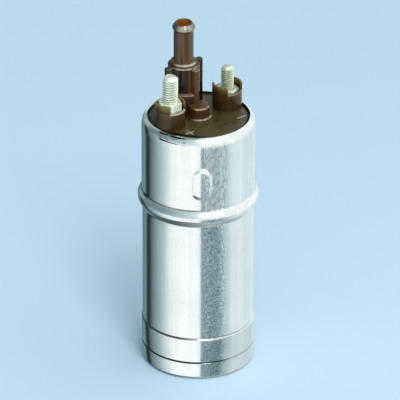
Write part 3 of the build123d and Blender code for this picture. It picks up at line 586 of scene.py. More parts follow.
def brown_moulding(graph, place, tint, glow, shine, gloss=0.14, matt=0.30):
    """Glass-filled moulding: flow lines and small pits, glossy where it is smooth."""
    stretched = graph.stretched(place, (1, 1, 0.4))
    flow = graph.noise(stretched, 220, detail=4, roughness=0.6, distortion=0.8)
    fibres = graph.noise(place, 2600)
    dust = graph.noise(place, 500, detail=3, roughness=0.7)
    body = graph.mix(graph.spread(flow, 0.35, 0.68, 0.72, 1.3), BLACK, tint)
    body = graph.mix(graph.spread(dust, 0.64, 0.8, 0, 0.2), body, glow)
    normal = graph.bump(fibres, 0.010 * MM, 0.5)
    normal = graph.bump(flow, 0.05 * MM, 0.5, normal)
    rough = graph.spread(dust, 0.3, 0.75, gloss, matt)
    graph.surface(Base_Color=body, Roughness=rough, Normal=normal, Specular_IOR_Level=shine)


def facing(x, y, middle, direction):
    """1 on the side of an upright axis that looks this way, falling to 0 at its flanks,
    and the distance from that axis."""
    dx, dy = x - middle[0], y - middle[1]
    across = (dx * dx + dy * dy) ** 0.5
    toward = (dx * math.sin(direction) - dy * math.cos(direction)) / across
    return x.graph.spread(toward, 0.35, 0.95, smooth=True), across


def cover_moulding(graph, finishes):
    """The cover: olive disc with painted shade in the gap round it, a painted glow on thin walls,
    painted light and shade on the boss and the pillar, and painted highlights on their edges."""
    cover = bpy.context.scene.fuel_pump_cover
    place = graph.position()
    x, y, height = graph.axes(place)
    front, radius = facing(x, y, (0, 0), math.radians(30))
    outlet = turned_to_layout(0, cover.outlet_offset)
    before, from_outlet = facing(x, y, outlet, math.radians(10))
    cos, sin = math.cos(LAYOUT_TURN), math.sin(LAYOUT_TURN)
    u, v = x * cos + y * sin, y * cos - x * sin - cover.outlet_offset

    face = cover.face
    boss_top, pillar_top = face + cover.boss_height, face + cover.pillar_height
    low_rim, wall_top = face + cover.shroud_low_rim, face + cover.shroud_height
    shelf_top = face + cover.shelf_height
    on_disc = height < face + 0.35 * MM
    in_boss = (radius < cover.boss_radius + 0.1 * MM) * (height < boss_top + 0.1 * MM)
    boss_side_shade = in_boss * (radius > cover.boss_radius - 0.3 * MM)
    near_outlet = (from_outlet < cover.fin_reach + 0.3 * MM) * (1 - in_boss)
    elsewhere = 1 - near_outlet

    # Painted glow and painted light on the thin walls and the fins, where light would shine
    # through
    lit = graph.spread(height, low_rim - 0.2 * MM, wall_top, 0, 0.9, smooth=True) * (x > 0)
    top_only = graph.spread(height, wall_top - 2.4 * MM, wall_top, 0, 0.9, smooth=True)
    lit = lit + top_only * (x < 0)
    # Painted amber glow low on the shroud walls
    rim_glow = graph.spread(height, low_rim - 3.2 * MM, low_rim, 0, 0.17) * elsewhere
    rim_glow = rim_glow * (height < low_rim + 0.3 * MM)
    # Painted amber glow on the side of a fin
    fin_side_glow = graph.spread(u, -0.9 * MM, -0.3 * MM, 1, 0) * (v < -5.7 * MM) * near_outlet
    fin_side_glow = fin_side_glow * graph.band(height, face, 9, 17, 2)
    # Painted light on the end of the front fin
    fin_end_light = (abs(u) < 1.3 * MM) * (v < -8.2 * MM) * (1 - on_disc) * (1 - in_boss)
    # Painted highlight on the side fins above the shelf
    fin_highlight = (from_outlet > cover.pillar_radius + 0.8 * MM) * near_outlet
    fin_highlight = fin_highlight * graph.spread(abs(u), 1.6 * MM, 2.4 * MM, 0, 0.3)
    fin_highlight = fin_highlight * (height > shelf_top + 0.5 * MM)

    # Painted shade in the gap round the disc, wider where the can's edge hides part of it
    wider = graph.spread(x, -14 * MM, -2 * MM, 0.45 * MM, 0.1 * MM)
    wider = wider + graph.window(x, -11 * MM, 0.5 * MM, 5 * MM) * (y < 0) * 1.9 * MM
    gap_shade = graph.spread(radius + wider, cover.face_radius - 0.25 * MM, cover.face_radius)
    gap_shade = gap_shade * (height < face + 0.05 * MM)

    # Painted highlights on edges that face the light: the low rims, the boss and its foot, the
    # pillar's top and its shelf
    upward = graph.axes(graph.node("ShaderNodeNewGeometry", output="Normal"))[2]
    rim_highlight = graph.band(height, low_rim, -0.35, 0.2) * (upward > 0.25)
    rim_highlight = rim_highlight * graph.spread(x, -2 * MM, 2 * MM, 0.85, 0.35) * elsewhere
    foot = graph.band(radius, cover.boss_radius, 0.25, 1.05, 0.1)
    sheen_and_wear = graph.band(height, boss_top, -0.62, -0.08, 0.08) * in_boss
    sheen_and_wear = (sheen_and_wear + foot * graph.band(height, face, 0.2, 0.6)) * front
    shelf = graph.band(height, shelf_top, -0.4, -0.02) * (abs(u) > 1.2 * MM)
    shelf = shelf * (from_outlet > cover.pillar_radius + 0.3 * MM)
    rim = graph.band(height, pillar_top, -0.4, -0.02)
    sheen_and_wear = sheen_and_wear + (rim + shelf * 0.6) * near_outlet * before
    sheen_and_wear = sheen_and_wear * graph.spread(graph.noise(place, 500), 0.35, 0.6, 0.35, 1)

    # Painted light on the boss
    tone = graph.mix(in_boss, finishes.moulding, finishes.boss)
    # Painted shade on the boss's side
    tone = graph.mix(boss_side_shade * 0.6, tone, BOSS_SIDE_SHADE)
    # Painted shade on the pillar and its fins
    tone = graph.mix(near_outlet, tone, finishes.pillar)
    tone = graph.mix(fin_highlight, tone, FIN_HIGHLIGHT_OLIVE)
    tone = graph.mix(on_disc, tone, finishes.disc)
    tone = graph.mix(rim_glow, tone, finishes.painted_amber_glow)
    tone = graph.mix(lit * elsewhere, tone, finishes.painted_wall_glow)
    tone = graph.mix(fin_side_glow * 0.26, tone, finishes.painted_amber_glow)
    tone = graph.mix(fin_end_light, tone, finishes.boss)
    for centre in SIGN_PLACES.values():
        close = ((x - centre[0]) ** 2 + (y - centre[1]) ** 2) ** 0.5 < cover.sign_size * 0.55
        tone = graph.mix(close * (height > face + 0.12 * MM) * 0.6, tone, finishes.sheen_and_wear)
    tone = graph.mix(sheen_and_wear * 0.95 + rim_highlight, tone, finishes.sheen_and_wear)
    tone = graph.mix(gap_shade, tone, JOINT_SHADE)
    brown_moulding(graph, place, tone, MOULDING_DUST, 0.33)


def nozzle_moulding(graph, finishes):
    """The outlet tube: a painted amber glow inside its bore, painted highlights on the front of
    its barb and its step, with two faint rings under it."""
    cover, tube = bpy.context.scene.fuel_pump_cover, bpy.context.scene.fuel_pump_outlet
    place = graph.position()
    x, y, height = graph.axes(place)
    middle = turned_to_layout(0, cover.outlet_offset)
    front, across = facing(x, y, middle, math.radians(15))
    root = cover.face + cover.pillar_height
    top = root + tube.height
    # Painted amber glow inside the bore
    inside = (across < tube.bore + 0.12 * MM) * graph.spread(height, top - 12 * MM, top)
    # Painted highlight on the front of the barb
    barb_highlight = graph.band(height, top, -2.2, -0.35, 0.25) * front
    cloud = graph.noise(place, 700, detail=3, roughness=0.6)
    barb_highlight = barb_highlight * graph.spread(cloud, 0.3, 0.6, 0.45, 1)
    barb_highlight = barb_highlight * (across > tube.nose_radius - 0.4 * MM)
    # Painted highlight on the front of the step round the tube's root
    ledge = graph.band(height, root + tube.collar_height, -0.55, 0.05) * front
    ledge = ledge * (across > tube.radius + 0.5 * MM)
    rings = 0
    for drop in (-4.6, -5.5):
        rings = rings + graph.band(height, top, drop - 0.06, drop + 0.06, 0.1)
    tone = graph.mix(inside, finishes.nozzle, finishes.painted_amber_glow)
    tone = graph.mix(rings * 0.4, tone, NOZZLE_RINGS)
    tone = graph.mix(barb_highlight * 0.9 + ledge, tone, finishes.sheen_and_wear)
    brown_moulding(graph, place, tone, NOZZLE_DUST, 0.55, gloss=0.08, matt=0.20)


def stud_sizes(terminals, sign):
    """A stud's radius, height and pitch, and its collar's height and turn."""
    sizes = ("radius", "height", "pitch", "collar", "turn")
    return [getattr(terminals, f"{sign}_{size}") for size in sizes]


def zinc_plating(graph, finishes):
    """Pale zinc, with greener painted shade in the roots of the threads and on the minus stud."""
    cover, terminals = bpy.context.scene.fuel_pump_cover, bpy.context.scene.fuel_pump_terminals
    place = graph.position()
    x, y, height = graph.axes(place)
    cloud = graph.noise(place, 350, detail=3, roughness=0.6)
    fine = graph.noise(place, 2400)
    dull = [channel * factor for channel, factor in zip(finishes.zinc, (0.88, 0.91, 0.83))]
    tone = graph.mix(graph.spread(cloud, 0.35, 0.65), dull, finishes.zinc)
    tone = graph.mix((x > 0) * 0.5, tone, ZINC_SHADED)
    for side, sign in SIDES:
        middle = turned_to_layout(side * cover.terminal_offset, 0)
        across = ((x - middle[0]) ** 2 + (y - middle[1]) ** 2) ** 0.5
        crest, reach, pitch, collar, _ = stud_sizes(terminals, sign)
        depth = 0.6 * pitch
        top = cover.face + cover.shroud_floor + collar + reach - crest * terminals.point
        # Painted shade in the roots of the thread
        root = graph.spread(across, crest - depth, crest - depth * 0.3, 1, 0)
        root = root * graph.spread(height, top - 0.3 * MM, top, 1, 0) * (across > crest * 0.4)
        tone = graph.mix(root * 0.6, tone, ZINC_ROOT_SHADE)
    normal = graph.bump(fine, 0.015 * MM, 0.6)
    rough = graph.spread(cloud, 0.3, 0.7, 0.34, 0.20)
    graph.surface(Base_Color=tone, Metallic=0.6, Roughness=rough, Normal=normal)


def plain_finish(tint, metallic, rough, grain, depth, stretch=(1, 1, 1), spread=0.75):
    """A finish of one stuff: clouded colour, uneven gloss and a fine grain, whose depth
    is in millimetres."""

    def make(graph, finishes):
        place = graph.position()
        cloud = graph.noise(place, 240, detail=3, roughness=0.6)
        stretched = graph.stretched(place, stretch)
        fine = graph.noise(stretched, grain, detail=3, roughness=0.6)
        body = graph.mix(graph.spread(cloud, 0.3, 0.7), dimmed(tint, spread), tint)
        normal = graph.bump(fine, depth * MM, 0.6)
        gloss = graph.spread(fine + cloud, 0.7, 1.3, rough * 0.85, min(1, rough * 1.25))
        graph.surface(Base_Color=body, Metallic=metallic, Roughness=gloss, Normal=normal)

    return make


FINISH_MAKERS = {
    "can_steel": bright_sheet,
    "cup_steel": bright_sheet,
    "brown_plastic": cover_moulding,
    "nozzle_plastic": nozzle_moulding,
    "zinc_plate": zinc_plating,
    "seal_rubber": plain_finish((0.018, 0.018, 0.019), 0, 0.55, 1800, 0.01),
    "valve_plastic": plain_finish((0.74, 0.71, 0.62), 0, 0.35, 900, 0.01, spread=0.9),
    "spring_steel": plain_finish((0.52, 0.53, 0.54), 1, 0.25, 2500, 0.006),
    "bush_bronze": plain_finish((0.50, 0.33, 0.16), 1, 0.42, 2600, 0.02),
    "shaft_steel": plain_finish((0.66, 0.67, 0.68), 1, 0.18, 2200, 0.004, (1, 1, 12)),
    "pole_steel": plain_finish((0.33, 0.34, 0.36), 0.9, 0.45, 1400, 0.015),
    "magnet_ferrite": plain_finish((0.055, 0.055, 0.062), 0, 0.6, 1300, 0.03),
    "lamination_steel": plain_finish((0.42, 0.42, 0.44), 1, 0.35, 900, 0.05, (1, 1, 30)),
    "winding_copper": plain_finish((0.72, 0.30, 0.12), 0.9, 0.28, 1200, 0.03),
    "black_moulding": plain_finish((0.028, 0.027, 0.026), 0, 0.4, 1500, 0.015),
    "brush_carbon": plain_finish((0.05, 0.047, 0.045), 0.3, 0.55, 2400, 0.02),
    "cast_aluminium": plain_finish((0.60, 0.61, 0.62), 1, 0.42, 1000, 0.04),
    "sintered_steel": plain_finish((0.36, 0.36, 0.37), 1, 0.38, 2300, 0.02),
    "screw_steel": plain_finish((0.045, 0.045, 0.048), 0.8, 0.38, 2000, 0.01),
}


# Modelling

def deselect():
    """Leaves edit mode and selects nothing."""
    if bpy.context.mode != "OBJECT":
        bpy.ops.object.mode_set(mode="OBJECT")
    bpy.ops.object.select_all(action="DESELECT")


def pick(piece):
    """Selects this piece alone and makes it active."""
    deselect()
    piece.select_set(True)
    bpy.context.view_layer.objects.active = piece


def edit(action="SELECT"):
    """Enters edit mode with all points selected, or none."""
    bpy.ops.object.mode_set(mode="EDIT")
    bpy.ops.mesh.select_mode(type="VERT")
    bpy.ops.mesh.select_all(action=action)


def choose(piece, test, kind="verts"):
    """In edit mode, selects the vertices, edges or faces that pass the test."""
    mode = {"verts": "VERT", "edges": "EDGE", "faces": "FACE"}[kind]
    bpy.ops.mesh.select_mode(type=mode)
    bpy.ops.mesh.select_all(action="DESELECT")
    mesh = bmesh.from_edit_mesh(piece.data)
    for part in getattr(mesh, kind):
        if test(part):
            part.select_set(True)
    mesh.select_flush_mode()
    bmesh.update_edit_mesh(piece.data)


def arc(centre, size, start, end, steps):
    """Points round an arc in the (radius, height) plane, from one angle to another."""
    angles = [start + (end - start) * step / steps for step in range(steps + 1)]
    return [(centre[0] + size * math.cos(a), centre[1] + size * math.sin(a)) for a in angles]


def rounded(corners, steps=4):
    """Closed outline whose corners (x, y, rounding) become arcs that touch both sides."""
    outline = []
    for place, (x, y, size) in enumerate(corners):
        if not size:
            outline.append((x, y))
            continue
        here = Vector((x, y))
        back = (Vector(corners[place - 1][:2]) - here).normalized()
        ahead = (Vector(corners[(place + 1) % len(corners)][:2]) - here).normalized()
        half = back.angle(ahead) / 2
        middle = here + (back + ahead).normalized() * (size / math.sin(half))
        reach = size / math.tan(half)
        first, last = here + back * reach - middle, here + ahead * reach - middle
        start = math.atan2(first.y, first.x)
        turn = math.atan2(last.y, last.x) - start
        turn = (turn + math.pi) % FULL_TURN - math.pi
        outline += arc(middle, size, start, start + turn, steps)
    return outline


def draw(name, points, closed):
    """Extrudes one vertex through the points, and closes the line if it is an outline."""
    deselect()
    bpy.ops.mesh.primitive_plane_add(size=MM, location=points[0])
    piece = bpy.context.active_object
    piece.name = piece.data.name = name
    edit()
    bpy.ops.mesh.merge(type="CENTER")
    for start, end in zip(points, points[1:]):
        step = [b - a for a, b in zip(start, end)]
        bpy.ops.mesh.extrude_vertices_move(TRANSFORM_OT_translate={"value": step})
    if closed:
        last = len(points) - 1
        choose(piece, lambda vertex: vertex.index in (0, last))
        bpy.ops.mesh.edge_face_add()
    bpy.ops.mesh.select_all(action="SELECT")
    return piece


def settle(piece, smooth=SMOOTH_ANGLE):
    """Leaves edit mode, puts the origin back at the base's middle and shades by angle."""
    bpy.ops.object.mode_set(mode="OBJECT")
    pick(piece)
    bpy.ops.object.transform_apply(location=True, rotation=True, scale=True)
    bpy.ops.object.shade_smooth_by_angle(angle=smooth)
    return piece


def close_up(piece):
    """In edit mode, merges doubled points, drops loose lines and turns faces outwards."""
    bpy.ops.mesh.select_all(action="SELECT")
    bpy.ops.mesh.remove_doubles(threshold=MERGE_DISTANCE)
    bpy.ops.mesh.delete_loose()
    bpy.ops.mesh.select_all(action="SELECT")
    bpy.ops.mesh.normals_make_consistent(inside=False)
    if bmesh.from_edit_mesh(piece.data).calc_volume(signed=True) < 0:
        bpy.ops.mesh.flip_normals()


def lathe(name, outline, steps=96, centre=(0, 0), closed=True):
    """Spins a line of (radius, height) points round an upright axis."""
    x, y = centre
    piece = draw(name, [(x + r, y, z) for r, z in outline], closed)
    bpy.ops.mesh.spin(
        steps=steps,
        angle=FULL_TURN,
        center=(x, y, 0),
        axis=(0, 0, 1),
        use_auto_merge=True,
        use_normal_flip=False,
    )
    close_up(piece)
    return settle(piece)


def prism(name, outline, low, top, edge=0.0, steps=3):
    """Raises a flat outline of (x, y) points and rounds its upper edge."""
    piece = draw(name, [(x, y, low) for x, y in outline], closed=True)
    bpy.ops.mesh.edge_face_add()
    bpy.ops.mesh.extrude_region_move(TRANSFORM_OT_translate={"value": (0, 0, top - low)})
    close_up(piece)
    if edge:
        limit = top - MERGE_DISTANCE
        world = piece.matrix_world
        choose(piece, lambda line: all((world @ v.co).z > limit for v in line.verts), "edges")
        bpy.ops.mesh.bevel(offset=edge, segments=steps, affect="EDGES", clamp_overlap=True)
    return settle(piece)


def change(piece, kind, **settings):
    """Adds a modifier and applies it."""
    pick(piece)
    modifier = piece.modifiers.new(kind.title(), kind)
    for name, value in settings.items():
        setattr(modifier, name, value)
    bpy.ops.object.modifier_apply(modifier=modifier.name)


def combine(piece, other, operation):
    """Joins, cuts or crosses two closed pieces, and drops the second."""
    change(piece, "BOOLEAN", operation=operation, object=other, solver="EXACT")
    bpy.data.objects.remove(other)


def turned_to_layout(u, v):
    """A place on the cover: u runs along the terminals' line, v towards the outlet."""
    cos, sin = math.cos(LAYOUT_TURN), math.sin(LAYOUT_TURN)
    return u * cos - v * sin, u * sin + v * cos


def stand_for(piece, node, finish):
    """Dresses a new piece, sets it on the housing and hides the node that it stands for."""
    dress(piece, finish)
    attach(piece, "housing")
    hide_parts(node)


# Pieces

def bead_line(can):
    """The can's outer face through the bead, upwards, as (radius, height) points."""
    crest = can.radius + can.bead_rise
    middle = (crest - can.bead_arc, can.bead_height)
    reach = can.bead_arc + can.bead_fillet

    def flank(line_radius, side):
        across = line_radius + can.bead_fillet - middle[0]
        up = side * math.sqrt(reach**2 - across**2)
        return (line_radius + can.bead_fillet, middle[1] + up), math.atan2(up, across)

    low_centre, low_angle = flank(can.radius, -1)
    top_centre, top_angle = flank(can.upper_radius, 1)
    line = arc(low_centre, can.bead_fillet, math.pi, math.pi + low_angle, 5)
    line += arc(middle, can.bead_arc, low_angle, top_angle, 22)[1:]
    line += arc(top_centre, can.bead_fillet, math.pi + top_angle, math.pi, 5)[1:]
    return line


def curl_middle(can):
    """Middle of the curl's tighter part, as (radius, height)."""
    easing = can.curl_start - can.curl_radius
    middle = can.upper_radius - can.curl_start + easing * math.cos(can.curl_blend)
    return middle, can.top - can.curl_radius * math.sin(can.curl_angle)


def upright(radius, low, high, rows):
    """Points up a straight wall, without its two ends."""
    return [(radius, low + (high - low) * row / rows) for row in range(1, rows)]


def can_line(can):
    """The can's outer face from its foot to the end of its curl."""
    curl = curl_middle(can)
    start = curl[1] - (can.curl_start - can.curl_radius) * math.sin(can.curl_blend)
    neck = can.radius - can.neck_depth
    bead = bead_line(can)
    line = [(neck, can.foot), (neck, can.neck_top - can.neck_taper), (can.radius, can.neck_top)]
    line += upright(can.radius, can.neck_top, bead[0][1], 10)
    line += bead
    # Close rows above the bead, so that the pad presses out smoothly
    line += upright(can.upper_radius, bead[-1][1], start, round((start - bead[-1][1]) / ROW))
    line += arc((can.upper_radius - can.curl_start, start), can.curl_start, 0, can.curl_blend, 6)
    return line + arc(curl, can.curl_radius, can.curl_blend, can.curl_angle, 12)[1:]


def press_pad(piece, pad):
    """Presses the oblong pad out of the sheet, with softly rounded flanks."""
    outward = Vector((math.cos(pad.direction), math.sin(pad.direction), 0))
    side = Vector((-outward.y, outward.x, 0))
    half_width = pad.width / 2 - pad.flank * 0.5
    straight = (pad.length - pad.width) / 2
    world = piece.matrix_world

    def in_pad(vertex):
        place = world @ vertex.co
        if place.dot(outward) < 0:
            return False
        up = max(0, abs(place.z - pad.height) - straight)
        return math.hypot(place.dot(side), up) < half_width

    pick(piece)
    edit("DESELECT")
    choose(piece, in_pad)
    bpy.ops.transform.translate(
        value=outward * pad.rise,
        use_proportional_edit=True,
        proportional_edit_falloff="SMOOTH",
        proportional_size=pad.flank,
        use_proportional_connected=False,
    )
    settle(piece)


class FUELPUMP_OT_can(bpy.types.Operator):
    """Models the drawn can with its bead, pad and curled edge"""

    bl_idname = "fuelpump.can"
    bl_label = "Can"

    def execute(self, context):
        can, pad = context.scene.fuel_pump_can, context.scene.fuel_pump_pad
        piece = lathe("can_shell", can_line(can), 320, closed=False)
        press_pad(piece, pad)
        change(piece, "SOLIDIFY", thickness=can.sheet, offset=-1)
        settle(piece)
        stand_for(piece, "can", "can_steel")
        return {"FINISHED"}


class FUELPUMP_OT_cup(bpy.types.Operator):
    """Models the base cup with its rolled crimp line"""

    bl_idname = "fuelpump.cup"
    bl_label = "Base cup"

    def execute(self, context):
        cup = context.scene.fuel_pump_cup
        inside, lip = cup.radius - cup.sheet, cup.radius - cup.lip
        edge, top_edge = 0.12 * MM, 0.6 * MM
        outline = [
            (lip, 0, edge),
            (cup.radius, 0, cup.corner),
            (cup.radius, cup.crimp_height - cup.crimp_width, edge),
            (cup.radius - cup.crimp_depth, cup.crimp_height, edge),
            (cup.radius, cup.crimp_height + cup.crimp_width, edge),
            (cup.radius, cup.top, top_edge),
            (inside, cup.top, edge),
            (inside, cup.sheet, cup.corner - cup.sheet),
            (lip, cup.sheet, edge),
        ]
        piece = lathe("base_cup_shell", rounded(outline, 5), 240)
        stand_for(piece, "base_cup", "cup_steel")
        return {"FINISHED"}


def shroud(name, cover, centre):
    """A terminal's post, its low rim all round and its two tall walls."""
    low = cover.face - cover.step
    inner = cover.shroud_radius - cover.shroud_wall
    floor, rim = cover.face + cover.shroud_floor, cover.face + cover.shroud_low_rim
    outline = [
        (cover.shroud_radius, rim),
        (inner, rim),
        (inner, floor),
        (POST_BORE, floor),
        (POST_BORE, low),
        (cover.shroud_radius, low),
        (cover.shroud_radius, cover.face),
    ]
    piece = lathe(name, outline, 120, centre)
    start = LAYOUT_TURN + cover.shroud_turn - cover.shroud_span / 2

    def on_wall(face):
        middle = face.calc_center_median()
        if face.normal.z < 0.9 or middle.z < rim - MERGE_DISTANCE:
            return False
        turn = math.atan2(middle.y - centre[1], middle.x - centre[0]) - start
        return turn % math.pi < cover.shroud_span

    pick(piece)
    edit("DESELECT")
    choose(piece, on_wall, "faces")
    rise = cover.shroud_height - cover.shroud_low_rim
    bpy.ops.mesh.extrude_region_move(TRANSFORM_OT_translate={"value": (0, 0, rise)})
    settle(piece)
    change(
        piece,
        "BEVEL",
        width=cover.edge * 0.7,
        segments=3,
        limit_method="ANGLE",
        angle_limit=math.radians(40),
        harden_normals=False,
    )
    return settle(piece)


def pillar_outline(cover, centre):
    """Plan of the pillar: a round post with three fins, their tips rounded."""
    radius, half, reach = cover.pillar_radius, cover.fin_width / 2, cover.fin_reach
    root, rounding = radius * 0.9, 0.5 * MM
    fin = rounded(
        [(root, -half, 0), (reach, -half, rounding), (reach, half, rounding), (root, half, 0)]
    )[1:-1]
    swing = math.asin(half / radius)
    points = []
    for start, end, steps in (
        (-math.pi, -math.pi / 2, 16),
        (-math.pi / 2, 0, 16),
        (0, math.pi, 32),
    ):
        points += arc((0, 0), radius, start + swing, end - swing, steps)
        cos, sin = math.cos(end), math.sin(end)
        points += [(x * cos - y * sin, x * sin + y * cos) for x, y in fin]
    turned = [turned_to_layout(u, v) for u, v in points]
    return [(x + centre[0], y + centre[1]) for x, y in turned]


def valve_bore(cover, centre):
    """The passage through the pillar, as a solid to cut with."""
    low = cover.face - cover.thickness - MM
    seat = cover.face + VALVE_SEAT
    top = cover.face + cover.pillar_height + MM
    outline = [
        (0, low),
        (VALVE_PASSAGE, low),
        (VALVE_PASSAGE, seat),
        (VALVE_CHAMBER, seat + VALVE_CHAMBER - VALVE_PASSAGE),
        (VALVE_CHAMBER, top),
        (0, top),
    ]
    return lathe("valve_bore", outline, 72, centre)


def stud_hole(cover, centre):
    """A terminal's hole through the disc, as a solid to cut with."""
    low, top = cover.face - cover.thickness - MM, cover.face + MM
    return lathe("stud_hole", [(0, low), (STUD_HOLE, low), (STUD_HOLE, top), (0, top)], 48, centre)


def sector_outline(radius, start, span, centre, steps=24):
    """Plan of a slice of a disc, with its tip at the centre."""
    start += LAYOUT_TURN
    return [tuple(centre), *arc(centre, radius, start, start + span, steps)]


def sign_outline(cover, middle, crossed):
    """Plan of a minus, or of a plus where it is crossed, in line with the terminals."""
    long, short = cover.sign_size / 2, cover.sign_stroke / 2
    if crossed:
        arm = [(long, -short), (long, short), (short, short)]
        corners = []
        for cos, sin in ((1, 0), (0, 1), (-1, 0), (0, -1)):
            corners += [(x * cos - y * sin, x * sin + y * cos) for x, y in arm]
    else:
        corners = [(-long, -short), (long, -short), (long, short), (-long, short)]
    turned = [turned_to_layout(u, v) for u, v in corners]
    return [(x + middle[0], y + middle[1]) for x, y in turned]


def cover_disc(cover, can):
    """The disc with its ledge under the can's curl, and its skirt and hub below."""
    edge = cover.edge
    under, ledge = cover.face - cover.thickness, cover.face - cover.step
    curl = curl_middle(can)
    gap = can.curl_radius - can.sheet - CURL_PLAY
    ledge_turn = math.asin((ledge - curl[1]) / gap)
    seat = cover.radius - SEAL_LAND
    bore = seat - SEAL_WALL
    shoulder = can.bead_height + SEAL_SHOULDER
    outline = [
        (0, cover.face),
        *arc((cover.face_radius - edge, cover.face - edge), edge, math.pi / 2, 0.1, 4),
        (cover.face_radius + 0.2 * MM, ledge),
        *reversed(arc(curl, gap, 0, ledge_turn, 8)),
        (cover.radius, shoulder + SEAL_LAND),
        (seat, shoulder),
        (seat, SKIRT_FOOT),
        (bore, SKIRT_FOOT),
        (bore, HOLDER_TOP),
        (bore - HOLDER_STEP, HOLDER_TOP),
        (bore - HOLDER_STEP, under),
        (HUB_RADIUS, under),
        (HUB_RADIUS, under - HUB_DEPTH),
        (BUSH_BORE, under - HUB_DEPTH),
        (BUSH_BORE, under + BUSH_POCKET),
        (SHAFT_BORE, under + BUSH_POCKET),
        (SHAFT_BORE, cover.face - SHAFT_ROOF),
        (0, cover.face - SHAFT_ROOF),
    ]
    return lathe("cover_disc", outline, 240)


def cover_boss(cover):
    """The middle boss and the ring round its foot, sunk a little into the disc."""
    low, foot, top = (cover.face + rise for rise in (-0.35 * MM, 0.5 * MM, cover.boss_height))
    foot_radius = cover.boss_radius + cover.boss_foot
    outline = [
        (0, low, 0),
        (foot_radius, low, 0),
        (foot_radius, foot, 0.25 * MM),
        (cover.boss_radius, foot, 0.3 * MM),
        (cover.boss_radius, top, 0.55 * MM),
        (0, top, 0),
    ]
    return lathe("cover_boss", rounded(outline), 96)


class FUELPUMP_OT_cover(bpy.types.Operator):
    """Models the brown cover: disc, boss, terminal shrouds and outlet pillar"""

    bl_idname = "fuelpump.cover"
    bl_label = "Cover"

    def execute(self, context):
        cover, can = context.scene.fuel_pump_cover, context.scene.fuel_pump_can
        ledge = cover.face - cover.step
        outlet = turned_to_layout(0, cover.outlet_offset)
        pillar_plan = pillar_outline(cover, outlet)
        shelf_plan = sector_outline(cover.shelf_reach, -math.pi, math.pi / 2, outlet)
        pillar_top, shelf_top = cover.face + cover.pillar_height, cover.face + cover.shelf_height
        disc = cover_disc(cover, can)
        boss = cover_boss(cover)
        pillar = prism("outlet_pillar", pillar_plan, ledge, pillar_top, cover.edge)
        shelf = prism("outlet_shelf", shelf_plan, ledge, shelf_top, cover.edge)
        for piece in (pillar, shelf, disc):
            combine(piece, valve_bore(cover, outlet), "DIFFERENCE")
        made = [disc, boss, pillar, shelf]
        for side, sign in SIDES:
            centre = turned_to_layout(side * cover.terminal_offset, 0)
            made.append(shroud("shroud_" + sign, cover, centre))
            combine(disc, stud_hole(cover, centre), "DIFFERENCE")
        for piece in (pillar, shelf, disc):
            settle(piece)
        low, top = cover.face - 0.2 * MM, cover.face + cover.sign_height
        for name, middle in SIGN_PLACES.items():
            outline = sign_outline(cover, middle, name == "sign_plus")
            made.append(prism(name, outline, low, top, 0.1 * MM, 2))
        for piece in made:
            stand_for(piece, "connection_cover", "brown_plastic")
        return {"FINISHED"}


class FUELPUMP_OT_outlet(bpy.types.Operator):
    """Models the barbed outlet tube"""

    bl_idname = "fuelpump.outlet"
    bl_label = "Outlet"

    def execute(self, context):
        cover, tube = context.scene.fuel_pump_cover, context.scene.fuel_pump_outlet
        centre = turned_to_layout(0, cover.outlet_offset)
        root = cover.face + cover.pillar_height
        top = root + tube.height
        barb = tube.radius + tube.barb_rise
        barb_top = top - tube.nose_length
        barb_low = barb_top - tube.barb_land
        step, step_radius = root + tube.collar_height, tube.radius + tube.collar_rim
        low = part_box("outlet_nozzle")[0].z
        outline = [
            (tube.bore, low, 0),
            (tube.plug, low, 0),
            (tube.plug, root, 0),
            (step_radius, root, 0),
            (step_radius - tube.collar_rim * 0.1, step, 0.2 * MM),
            (tube.radius, step, 0.25 * MM),
            (tube.radius, barb_low - tube.barb_taper, 0.12 * MM),
            (barb, barb_low, 0.3 * MM),
            (barb, barb_top, 0.4 * MM),
            (tube.nose_radius, top, 0.3 * MM),
            (tube.bore + 0.15 * MM, top, 0.25 * MM),
            (tube.bore, top - 0.8 * MM, 0),
        ]
        piece = lathe("outlet_tube", rounded(outline, 5), 96, centre)
        stand_for(piece, "outlet_nozzle", "nozzle_plastic")
        return {"FINISHED"}


def thread(name, centre, radius, pitch, low, top):
    """A closed rod with a real helical thread, longer than it needs to be."""
    inner = radius - THREAD_DEPTH * pitch
    half_crest, half_root = pitch * THREAD_CREST / 2, pitch * THREAD_ROOT / 2
    profile = [
        (inner, 0),
        (inner, half_root),
        (radius, pitch / 2 - half_crest),
        (radius, pitch / 2 + half_crest),
        (inner, pitch - half_root),
        (inner, pitch),
    ]
    x, y = centre
    piece = draw(name, [(x + r, y, low + z) for r, z in profile], closed=False)
    settle(piece)
    turns = math.ceil((top - low) / pitch)
    pick(piece)
    bpy.context.scene.cursor.location = (x, y, 0)
    bpy.ops.object.origin_set(type="ORIGIN_CURSOR")
    change(
        piece,
        "SCREW",
        axis="Z",
        angle=FULL_TURN,
        screw_offset=pitch,
        iterations=turns,
        steps=48,
        render_steps=48,
        use_merge_vertices=True,
        merge_threshold=MERGE_DISTANCE,
    )
    edit()
    bpy.ops.mesh.remove_doubles(threshold=MERGE_DISTANCE)
    world = piece.matrix_world
    middle = low + turns * pitch / 2
    for level, lower in ((low, True), (low + (turns + 1) * pitch, False)):

        def open_end(line):
            return line.is_boundary and ((world @ line.verts[0].co).z < middle) == lower

        choose(piece, open_end, "edges")
        bpy.ops.mesh.extrude_edges_move(TRANSFORM_OT_translate={"value": (0, 0, 0)})
        bpy.ops.transform.resize(value=(0, 0, 0), center_override=(x, y, level))
    close_up(piece)
    bpy.context.scene.cursor.location = (0, 0, 0)
    return settle(piece)


